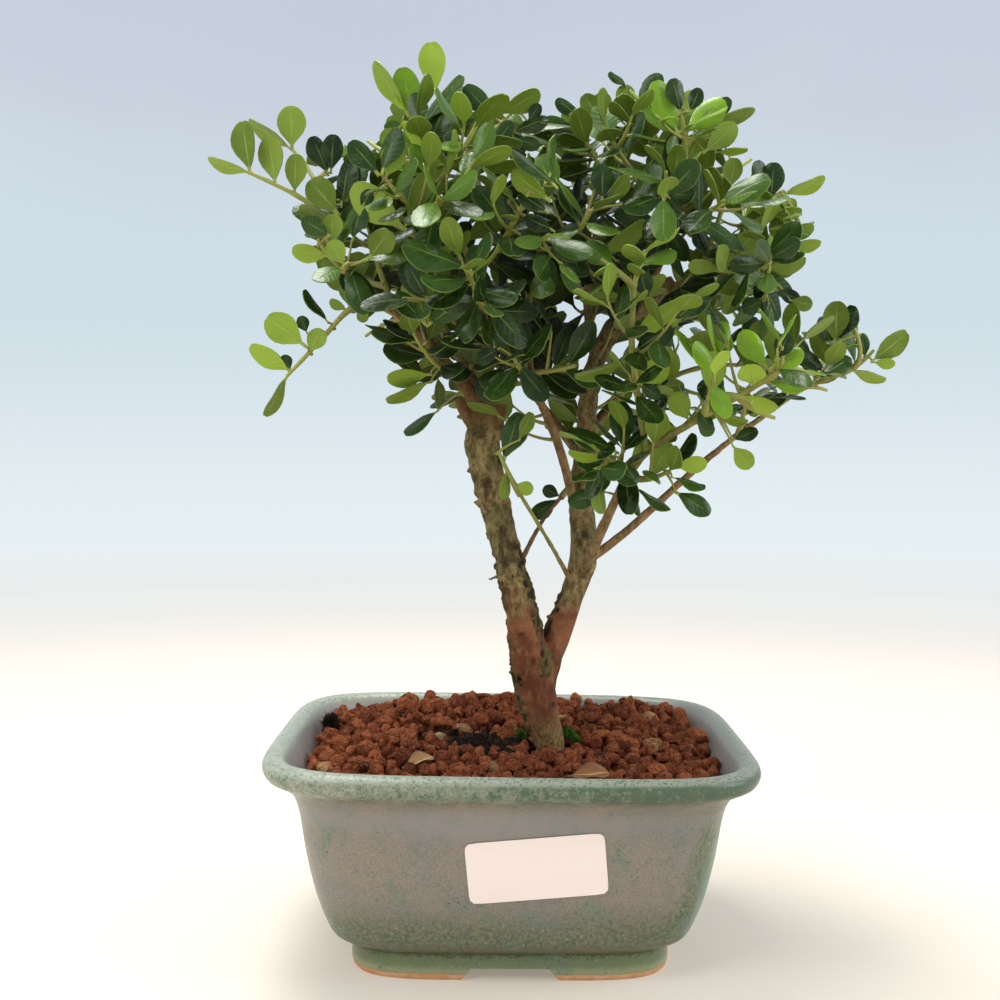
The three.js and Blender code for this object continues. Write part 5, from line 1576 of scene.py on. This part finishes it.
def growAll():
    grown = [growSpray(row, i) for i, row in enumerate(sprays)]
    shoots = [shoot for main in grown for shoot in (main, *main.sides)]
    for shoot in shoots:
        steps = math.ceil(shoot.path.length / 2.5)
        keepClear(shoot.path.at(np.linspace(0, 1, steps + 1)), leaf["stemReach"])
    for main in grown:
        leafOut(main)
    print("leaves shared with the solids", sum(len(shoot.poses) for shoot in shoots))
    growGuided(grown)
    clearOfGuided(grown)
    shared = sum(len(shoot.poses) for shoot in shoots)
    print("kept of them", shared, "guided", sum(len(main.guided) for main in grown))
    rng = np.random.default_rng(5)
    for shoot in shoots:
        fillShoot(shoot, rng, leaf["extraSpacing"], leaf["share"])
    for shoot in shoots:
        length = shoot.path.length
        for k, back in enumerate(np.arange(7, length * 0.95, leaf["twigSpacing"])):
            reach = rng.uniform(*leaf["twigLength"])
            growTwig(shoot, 1 - back / length, k * 2.2 + shoot.seed, reach, rng, 0.6)
    return grown


def growInner():
    # short twigs straight from the upper limbs, which fill the crown from inside
    rng = np.random.default_rng(23)
    grown = []
    for name, path in limbPaths.items():
        if name in ("stemLeft", "stemRight", "backTwig"):
            continue
        parent = Shoot(path.at(0)[0], path.tangent(0)[0], path.at(1)[0], 1.0, 3, 0.1)
        parent.path = path
        parent.across = unit(np.cross(path.tangent(0.5)[0], (0.3, 1, 0.2)))
        radii = limbs[name][1]
        for k, back in enumerate(np.arange(4, path.length * 0.8, leaf["innerSpacing"])):
            place = 1 - back / path.length
            if path.at(place)[0][2] < leaf["lowestInner"]:
                continue
            parent.radius = float(radiusAlong(radii, place)) + 0.2
            reach = rng.uniform(*leaf["innerLength"])
            twig = growTwig(parent, place, k * 2.4, reach, rng, leaf["share"])
            if twig:
                grown.append(twig)
    return grown


def bladeGrid():
    # share of the length and share of the half width at each point of the blade's grid
    s = np.array([0, 0.075, 0.2, 0.36, 0.52, 0.66, 0.79, 0.89, 0.955, 0.99])
    w = np.array([-1, -0.52, 0, 0.52, 1.0])
    t = np.clip((s - 0.06) / 0.94, 0, 1)
    outline = np.sin(np.pi * t ** 1.2) ** (0.82 - 0.38 * t)
    outline = np.maximum(outline, np.where(s < 0.1, 0.12, 0))
    return s, w, outline


def bladeFaces(rows, cols):
    # two grids, one under the other, and the strip that joins their edges
    upper = gridFaces(rows, cols, False)[:, ::-1]
    lower = gridFaces(rows, cols, False) + rows * cols
    last = (rows - 1) * cols
    ring = [*range(cols), *range(2 * cols - 1, last + cols, cols),
            *range(last + cols - 2, last - 1, -1), *range(last - cols, 0, -cols)]
    ring = np.array(ring[::-1])
    after = np.roll(ring, -1)
    rim = np.stack([ring, ring + rows * cols, after + rows * cols, after], -1)
    return np.concatenate([upper, lower, rim])


def addLeaves(skin, poses, rng):
    # point = root + direction s L + side w outline(s) W + facing h, where h falls with s^2 along
    # the blade and with w^2 across it, dips along the midrib and waves a little
    s, w, outline = bladeGrid()
    rows, cols = len(s), len(w)
    root, direction, facing, side = (np.array([p[key] for p in poses])[:, None, None]
                                     for key in ("root", "direction", "facing", "side"))
    length = np.array([p["length"] for p in poses])[:, None, None]
    fresh = np.array([p["fresh"] for p in poses])
    count = len(poses)
    draw = lambda low, high: rng.uniform(low, high, count)[:, None, None]
    known = np.array(["half" in p for p in poses])[:, None, None]
    knownHalf, knownArch = (np.array([p.get(key, 0) for p in poses])[:, None, None]
                            for key in ("half", "arch"))
    halfWidth = np.where(known, knownHalf, length * draw(0.225, 0.285))
    arch = np.where(known, knownArch, draw(0.08, 0.3))
    cup = draw(0.14, 0.44)
    twist = np.where(known, 0.3, 1) * draw(-0.45, 0.45)
    wavePhase, wave = draw(0, 6.28), draw(0, 0.018)
    # the leafstalk's end runs back into its stem, further where the leaf ends a stem
    along = s[None, :, None]
    along = along - np.where(known, *leaf["stalkBack"]) * (along == 0)
    across = w[None, None, :]
    shape = outline[None, :, None]
    turn = twist * (along - 0.2)
    x = across * shape * halfWidth
    h = (-arch * along ** 2 * length - cup * halfWidth * (across * shape) ** 2
         - 0.09 * halfWidth * shape * (1 - np.minimum(1, np.abs(across) * 2))
         + wave * length * np.sin(9 * along + wavePhase + 2 * across))
    sideways = (side * np.cos(turn)[..., None] + facing * np.sin(turn)[..., None])
    facingNow = (facing * np.cos(turn)[..., None] - side * np.sin(turn)[..., None])
    spine = root + direction * (along * length)[..., None]
    top = spine + sideways * x[..., None] + facingNow * h[..., None]
    bottom = top - facingNow * leaf["thickness"]
    points = np.stack([top, bottom], 1).reshape(count, -1, 3)
    under = np.array([0, 1])[:, None, None]
    place = np.stack(np.broadcast_arrays(along[:, None], across, under), -1)
    middles = (root + direction * (0.5 * length)[..., None])[:, 0, 0]
    paintedShadeDistance = np.linalg.norm((middles - crown["centre"]) / crown["radii"], axis=1)
    # the third fact is painted shade: 1 for leaves deep inside the crown, 0 near its surface
    kind = np.stack([fresh, rng.random(count), smoothStep(0.96, 0.5, paintedShadeDistance)], 1)
    faces = repeatFaces(bladeFaces(rows, cols), count, points.shape[1])
    skin.add(points, [faces], place.reshape(-1, 3), np.repeat(kind, points.shape[1], 0))


def addStem(skin, shoot, rng):
    # a tapering tube with a slight swelling at every leaf scar
    path, sides = shoot.path, stalk["sides"]
    u = np.linspace(0, 1, max(5, int(path.length / stalk["step"])))
    centres = np.vstack([path.at(0) - shoot.heading * stalk["sunk"], path.at(u)])
    u = np.concatenate([[0], u])
    radii = shoot.radius * (1.05 - 0.5 * u)
    scars = np.cos(u * path.length * 2 * np.pi / stalk["scarEvery"]) ** 6
    radii = radii * (1 + stalk["scarRise"] * scars)
    grid = tube(centres, radii, sides, shoot.across)
    young = np.clip(shoot.fresh * 0.5 + 0.35 + 0.5 * u, 0, 1)
    place = np.stack([u, young, 0 * u], -1)[:, None].repeat(sides, 1)
    faces = tubeFaces(len(u), sides)
    skin.add(grid, faces, place.reshape(-1, 3), (shoot.fresh, rng.random(), 0), 1)


def allShoots(shoot):
    inner = [twig for side in shoot.sides for twig in allShoots(side)]
    return [shoot, *shoot.guidedTwigs, *inner]


def leafPaint():
    paint = Paint("leafBlade", 0.3, Specular_IOR_Level=0.24)
    along, across, under = paint.parts(paint.fact("place"))
    fresh, tint, deep = paint.parts(paint.fact("kind"))
    place = paint.millimetres()
    blotch = paint.noise(place, 3.5, 1)
    old = paint.mix(tint, "102306", "2c4715")
    middle = paint.mix(tint, "3e6018", "678a26")
    new = paint.mix(tint, "688c14", "7fa41e")
    top = paint.mix(fresh.over(0.08, 0.45), old, middle)
    top = paint.mix(fresh.over(0.45, 0.85), top, new)
    top = paint.mix(blotch.over(0.4, 0.75) * 0.3, top, "46602a")
    below = paint.mix(tint, "5d7220", "839a38")
    below = paint.mix(blotch.over(0.4, 0.7) * 0.25, below, "7f943a")
    below = paint.mix(fresh.over(0.3, 0.8), below, "96b236")
    width = 0.1 - along * 0.065  # of the midrib, which fades out before the tip
    rib = (across.size() - width).over(0.03, -0.03) * along.over(0.97, 0.55)
    vein = paint.maths("SINE", along * 46 - across.size() * 9, 0).over(0.6, 1.0)
    top = paint.mix(rib * 0.42 + vein * 0.05, top, "7a9048")
    below = paint.mix(rib * 0.5, below, "a2b15e")
    colour = paint.mix(under, top, below)
    colour = paint.mix(along.over(0.11, 0.05), colour, "98a04e")
    colour = paint.mix(across.size().over(0.9, 1.0) * 0.1, colour, "8fa158")
    # painted shade: leaves deep inside the crown darken towards near black and turn rougher
    colour = paint.mix(deep * 0.8, colour, "091303")
    roughness = 0.21 + under * 0.26 + blotch * 0.12 + deep * 0.2
    height = vein * 0.2 + blotch * 0.4 - rib * 0.8 * (1 - under * 2)
    return paint.finish(colour, roughness, height, 0.12)


def stemPaint():
    paint = Paint("youngStem", 0.5, Specular_IOR_Level=0.4)
    young = paint.parts(paint.fact("place"))[1]
    grain = paint.noise(paint.millimetres(), 1.1, 4, 0.65)
    colour = paint.mix(young + (grain - 0.5) * 0.3, "7b633a", "979d48")
    colour = paint.mix(grain.over(0.56, 0.68) * 0.5, colour, "6a5030")
    return paint.finish(colour, 0.5 + grain * 0.15, grain, 0.2)


def makeSprays():
    grown, inner = growAll(), growInner()
    paints = [leafPaint(), stemPaint()]
    rng = np.random.default_rng(77)
    counts, total = {}, 0

    def makeFoliage(name, shoots, nodes=()):
        skin = Skin()
        poses = [pose for shoot in shoots for pose in shoot.poses + shoot.guided]
        addLeaves(skin, poses, rng)
        for shoot in shoots:
            addStem(skin, shoot, rng)
        makePiece(name, skin, paints, nodes, sharp=50)
        return len(poses)

    for (limbName, *_), main in zip(sprays, grown):
        counts[limbName] = counts.get(limbName, 0) + 1
        words = "".join("_" + c.lower() if c.isupper() else c for c in limbName)
        node = f"spray_{words}_{counts[limbName]}"
        total += makeFoliage(f"leafy_{node}", allShoots(main), [node])
    for i, group in enumerate(np.array_split(np.arange(len(inner)), leaf["innerGroups"])):
        total += makeFoliage(f"inner_sprays_{i + 1}", [inner[k] for k in group])
    print("leaves", total, "inner twigs", len(inner))


# Blank paper label

label = {"x": 6.8, "z": 35.8, "width": 37.5, "height": 17.5, "turn": math.radians(5.2),
         "corner": 1.9, "thickness": 0.25, "clear": 0.12, "around": 96, "rings": 16}


def frontOfPot(x, z):
    halfWidth = halfWidths(pot["outer"], z)
    halfDepth = halfWidth - pot["rimToDepth"]
    n = pot["power"]
    return -halfDepth * (1 - np.abs(x / halfWidth) ** n) ** (1 / n)


def paperPaint():
    paint = Paint("labelPaper", 0.45)
    place = paint.millimetres()
    fibres = paint.noise(place, 0.5, 3, 0.6)
    cloud = paint.noise(place, 12, 2)
    colour = paint.mix(fibres * 0.4 + cloud * 0.3, "faeae2", "efddd5")
    return paint.finish(colour, 0.4 + fibres * 0.1, fibres, 0.02)


def makeLabel():
    # rings of a rounded rectangle from its middle to its edge, laid on the pot's front
    angle = turns(label["around"])
    halfX, halfY, r = label["width"] / 2, label["height"] / 2, label["corner"]
    c, s = np.cos(angle), np.sin(angle)
    scale = 1 / np.maximum(np.abs(c) / halfX, np.abs(s) / halfY)
    u, v = c * scale, s * scale
    pastX, pastY = np.abs(u) - (halfX - r), np.abs(v) - (halfY - r)
    both = (pastX > 0) & (pastY > 0)
    far = np.hypot(pastX, pastY)
    shrink = np.where(both & (far > 0), r / np.maximum(far, 1e-6), 1)
    u = np.where(both, np.sign(u) * (halfX - r + pastX * shrink), u)
    v = np.where(both, np.sign(v) * (halfY - r + pastY * shrink), v)
    c, s = math.cos(label["turn"]), math.sin(label["turn"])
    outwards = np.linspace(0.02, 1, label["rings"])
    outside = label["clear"] + label["thickness"]
    rings = []
    for layer, shares in ((label["clear"], outwards), (outside, outwards[::-1])):
        for share in shares:
            x = label["x"] + share * (u * c - v * s)
            z = label["z"] + share * (u * s + v * c)
            rings.append(np.stack([x, frontOfPot(x, z) - layer, z], -1))
    skin = Skin()
    skin.add(np.array(rings), tubeFaces(len(rings), len(angle)))
    makePiece("blankPaperLabel", skin, [paperPaint()], ["blank_label"], sharp=60)


# Small things on the soil


def blades(skin, roots, headings, length, width, rng):
    # thin closed blades of three corners that taper from a root to a point, bent a little
    count = len(roots)
    u = np.array([0, 0.4, 0.75, 1.0])[None, :, None]
    girth = np.array([1, 0.9, 0.6, 0.12])[None, :, None, None]
    bend = rng.normal(0, 0.25, (count, 1, 3))
    size = length * rng.uniform(0.6, 1.2, (count, 1, 1))
    centres = roots[:, None] + size * (unit(headings)[:, None] * u + bend * u ** 2)
    side = unit(np.cross(headings, rng.normal(size=(count, 3))))
    other = unit(np.cross(headings, side))
    angle = turns(3)[None, :, None]
    spokes = np.cos(angle) * side[:, None] + np.sin(angle) * other[:, None]
    points = centres[:, :, None] + width * girth * spokes[:, None]
    ends = np.array([[2, 1, 0], [9, 10, 11]])
    faces = [repeatFaces(part, count, 12) for part in (gridFaces(4, 3), ends)]
    skin.add(points, faces, kind=np.repeat(rng.random((count, 3)), 12, 0))


def tuft(skin, place, look, rng):
    # a small dome with blades that stand away from it: where it stands, its radius, its height
    x, y, radius, height = place
    ground = (x, y, float(soilLevel(x, y)) + look["lift"])
    lumpyDome(skin, ground, radius * look["core"], height * 0.8, look["seed"], look["relief"])
    away = unit(rng.normal(size=(look["blades"], 3)) + (0, 0, look["rise"]))
    away = away[away[:, 2] > -0.1]
    roots = away * (radius * look["spread"], radius * 0.6, height * 0.75) + ground
    headings = away * (1, 1, look["level"]) + (0, 0, look["up"])
    blades(skin, roots, headings, look["length"], look["width"], rng)


def mossPaint():
    paint = Paint("moss", 0.8, Specular_IOR_Level=0.2)
    tint = paint.parts(paint.fact("kind"))[0]
    patch = paint.noise(paint.millimetres(), 2, 2)
    colour = paint.mix(tint, "22400f", "5f8a2c")
    colour = paint.mix(patch.over(0.45, 0.65) * 0.6, colour, "17260b")
    return paint.finish(colour, None, patch, 0.1)


def peatPaint():
    paint = Paint("peat", 0.95, Specular_IOR_Level=0.15)
    tint = paint.parts(paint.fact("kind"))[0]
    grain = paint.noise(paint.millimetres(), 0.8, 3, 0.7)
    colour = paint.mix(tint ** 2, "120b08", "38261c")
    colour = paint.mix(grain.over(0.55, 0.75) * 0.4, colour, "463a33")
    return paint.finish(colour, None, grain, 0.4)


def lumpyDome(skin, ground, radius, height, seed, relief, rows=16, cols=24):
    # half a stretched sphere with noise on it, closed below
    v = np.linspace(-0.45, 1, rows)[:, None] * np.pi / 2
    shape = rounds(np.cos(v), turns(cols)[None], np.sin(v))
    shape[-1] = shape[-1] * (0.02, 0.02, 1)
    grow = 1 + relief * softNoise(shape * 3, 1.0, seed)
    points = shape * grow[..., None] * (radius, radius * 0.8, height) + ground
    skin.add(points, tubeFaces(rows, cols), kind=(0.4, 0.4, 0.4))


# Tufts as x, y, radius, height; what they are like: the dome's lift above the soil, its share of
# the radius and its noise, then how many blades stand on it, how steeply, and their size in mm
mossTufts = {"moss_left": [(1, 10, 2.2, 2.8), (3.4, 8, 1.5, 2.0), (-1.4, 12, 1.2, 1.4)],
             "moss_right": [(18.6, 9, 1.5, 2.6), (20, 6, 1.3, 1.6), (17.4, 12, 1.4, 2.2)]}
moss = {"lift": 1.4, "core": 0.8, "seed": 3, "relief": 0.25, "blades": 190, "rise": 0.55,
        "spread": 0.75, "level": 1, "up": 0.5, "length": 1.3, "width": 0.2}
peatTuft = (-57.5, 23, 3, 6)
peat = {"lift": 0.6, "core": 0.85, "seed": 5, "relief": 0.5, "blades": 260, "rise": 0.6,
        "spread": 0.7, "level": 0.6, "up": 0.8, "length": 2.0, "width": 0.16}
crumbs = {"perArea": 5, "reach": 1.1, "heap": 1.7, "radius": (0.5, 1.5), "crumble": 0.25,
          "fibreEvery": 9, "fibreLength": 2.2, "fibreWidth": 0.13}


def makeMoss():
    paint = mossPaint()
    rng = np.random.default_rng(31)
    for name, places in mossTufts.items():
        skin = Skin()
        for place in places:
            tuft(skin, place, moss, rng)
        makePiece(f"soft_{name}", skin, [paint], [name])


def makePeat():
    paint = peatPaint()
    rng = np.random.default_rng(41)
    skin = Skin()
    tuft(skin, peatTuft, peat, rng)
    makePiece("fibrousPeatPlug", skin, [paint], ["peat_plug"])

    # loose crumbs heaped in patches, with a few fibres
    patches = Skin()
    for px, py, radius in peatSpots:
        count = int(radius * radius * crumbs["perArea"])
        share = np.sqrt(rng.random(count)) * crumbs["reach"]
        angle = rng.uniform(0, 6.28, count)
        gx, gy = px + radius * share * np.cos(angle), py + radius * share * np.sin(angle) * 0.8
        gz = (soilLevel(gx, gy) + crumbs["heap"] * (crumbs["reach"] - share) * radius / 6
              + rng.uniform(-0.5, 0.5, count))
        spots = np.stack([gx, gy, gz], -1)
        sizes = rng.uniform(*crumbs["radius"], count)
        points, faces = lumps(spots, sizes, int(radius * 10), crumbs["crumble"])
        tint = np.repeat(rng.random((count, 1)), points.shape[1], 0)
        patches.add(points, [faces], kind=tint * (1, 1, 1))
        roots = spots[::crumbs["fibreEvery"]]
        headings = rng.normal(size=roots.shape) + (0, 0, 0.8)
        blades(patches, roots, headings, crumbs["fibreLength"], crumbs["fibreWidth"], rng)
    makePiece("peatPatches", patches, [paint], sharp=40)


dryLeaves = [
    # x, y, turn, length, tilt, rise of the far side, height above the soil's level, curl, its node
    (-31, -25, 0.6, 10.8, 0.28, 0.35, 2.9, 0.9, "dry_leaf_left"),
    (15.5, -37, 0.12, 12, 0.14, 0.6, 4.2, 0.7, "dry_leaf_right"),
]


def dryLeafPaint():
    paint = Paint("dryLeaf", 0.6)
    edge = paint.parts(paint.fact("place"))[1].size()
    tint = paint.parts(paint.fact("kind"))[1]
    mottle = paint.noise(paint.millimetres(), 1.8, 3, 0.6)
    colour = paint.mix(tint, "8f6a3c", "85552c")
    colour = paint.mix(mottle.over(0.45, 0.7) * 0.6, colour, "6c4526")
    colour = paint.mix(edge.over(0.12, 0.03) * 0.6, colour, "cdb07c")
    colour = paint.mix(edge.over(0.82, 1.0) * 0.6, colour, "4c3320")
    return paint.finish(colour, 0.5 + mottle * 0.2, mottle, 0.15)


def makeDryLeaves():
    # a blade bent round its length as part of a tube, drooping and waved a little
    paint = dryLeafPaint()
    s, w = np.linspace(0, 1, 22)[:, None], np.linspace(-1, 1, 11)[None, :]
    t = np.clip((s - 0.06) / 0.94, 0, 1)
    outline = np.maximum(np.sin(np.pi * t ** 1.2) ** (0.95 - 0.4 * t), 0.08)
    outline = outline * np.where(s > 0.985, 0.5, 1)
    place = np.stack(np.broadcast_arrays(s, w, 0), -1).reshape(-1, 3)
    for k, (x, y, turn, length, tilt, rise, lift, curl, node) in enumerate(dryLeaves):
        direction = unit(np.array([math.cos(turn), math.sin(turn), tilt]))
        side = unit(np.array([-math.sin(turn), math.cos(turn), rise]))
        facing = unit(np.cross(direction, side))
        half = length * 0.27
        bend = curl * w * outline
        x1 = np.sin(bend) / curl * half
        h = ((1 - np.cos(bend)) / curl * half * 1.4 - 0.12 * length * s ** 2
             + 0.25 * np.sin(9 * s + 3 * w))
        root = np.array([x, y, float(soilLevel(x, y)) + lift])
        top = (root + direction * (s * length + 0 * w)[..., None] + side * x1[..., None]
               + facing * h[..., None])
        points = np.stack([top, top - facing * 0.22])
        skin = Skin()
        skin.add(points, [bladeFaces(22, 11)], np.tile(place, (2, 1)), (0, k, 0))
        makePiece(f"curled_{node}", skin, [paint], [node], sharp=60)


def meshPaint():
    paint = Paint("darkPlastic", 0.5)
    grain = paint.noise(paint.millimetres(), 0.8, 2)
    colour = paint.mix(grain, "202020", "303030")
    return paint.finish(colour, 0.45 + grain * 0.2, grain, 0.03)


def finishDrainMeshes():
    paint = meshPaint()
    for side in ("left", "right"):
        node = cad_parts[f"drain_mesh_{side}"]
        for slotOf in node.material_slots:
            slotOf.material = paint


# Floor and backdrop in one bowl round the object

stage = {"flat": 900, "bend": 500, "top": 1500, "around": 96, "glowFrom": (0.97, 1.0)}


def stagePaint():
    # near the pot the floor shows the light that falls on it plus a dim painted glow that lifts the
    # pot's shadow; further off it only glows, and the wall's glow is a painted gradient from pale
    # at its foot to bluish grey higher up
    paint = Paint("studioPaper", 0.9, Specular_IOR_Level=0.1, Emission_Strength=1.0)
    place = paint.millimetres()
    x, y, z = paint.parts(place)
    away = x * x + y * y
    cloud = paint.noise(paint.stretched(place, (1, 1, 1.6)), 420, 2)
    wall = paint.mix(z.over(10, 330), "e7f1f4", "d0dee7")
    wall = paint.mix((z + (cloud - 0.5) * 260).over(360, 760), wall, "c6cedb")
    far = away.over(60000, 1000000)
    floor = paint.mix(far, "867f76", "eaedec")
    paintedGlow = paint.mix((z * 9000 + away).over(900000, 1700000), floor, wall)
    material = paint.finish(paint.mix(far, "c8c1b6", "000000"), glow=paintedGlow)
    glowing = paint.node("ShaderNodeEmission", {}, {"Color": paintedGlow, "Strength": 1.0})
    lit = Wire(paint, paint.shader.outputs[0])
    both = paint.node("ShaderNodeMixShader", {}, {
        0: far.over(*stage["glowFrom"]), 1: lit, 2: glowing})
    paint.tree.links.new(both.socket, paint.tree.nodes["Material Output"].inputs["Surface"])
    return material


def makeStage():
    # a flat floor that curves up into a wall, turned round the pot's axis
    flat, bend, around = stage["flat"], stage["bend"], stage["around"]
    curve = np.linspace(0.05, 1, 24) * np.pi / 2
    radius = np.concatenate([np.linspace(5, flat, 30), flat + bend * np.sin(curve),
                             np.full(8, flat + bend)])
    height = np.concatenate([np.zeros(30), bend * (1 - np.cos(curve)),
                             np.linspace(bend + 60, stage["top"], 8)])
    points = rounds(radius[:, None], turns(around), height[:, None])
    faces = gridFaces(len(radius), around)[:, ::-1]
    mesh = newMesh("studioBowl", points.reshape(-1, 3), [*faces.tolist(), list(range(around))])
    mesh.materials.append(stagePaint())
    mesh.shade_smooth()
    bowl = link("studioBowl", mesh)


makeCamera()
makeLights()
makeStage()
print("camera, lights and floor made")
makePot()
makeLabel()
print("pot and label made")
makeSoil(soilPaint())
makeMoss()
makePeat()
makeDryLeaves()
finishDrainMeshes()
print("soil made")
makeWood(barkPaint())
print("trunk and branches made")
makeSprays()
print("leafy sprays made")
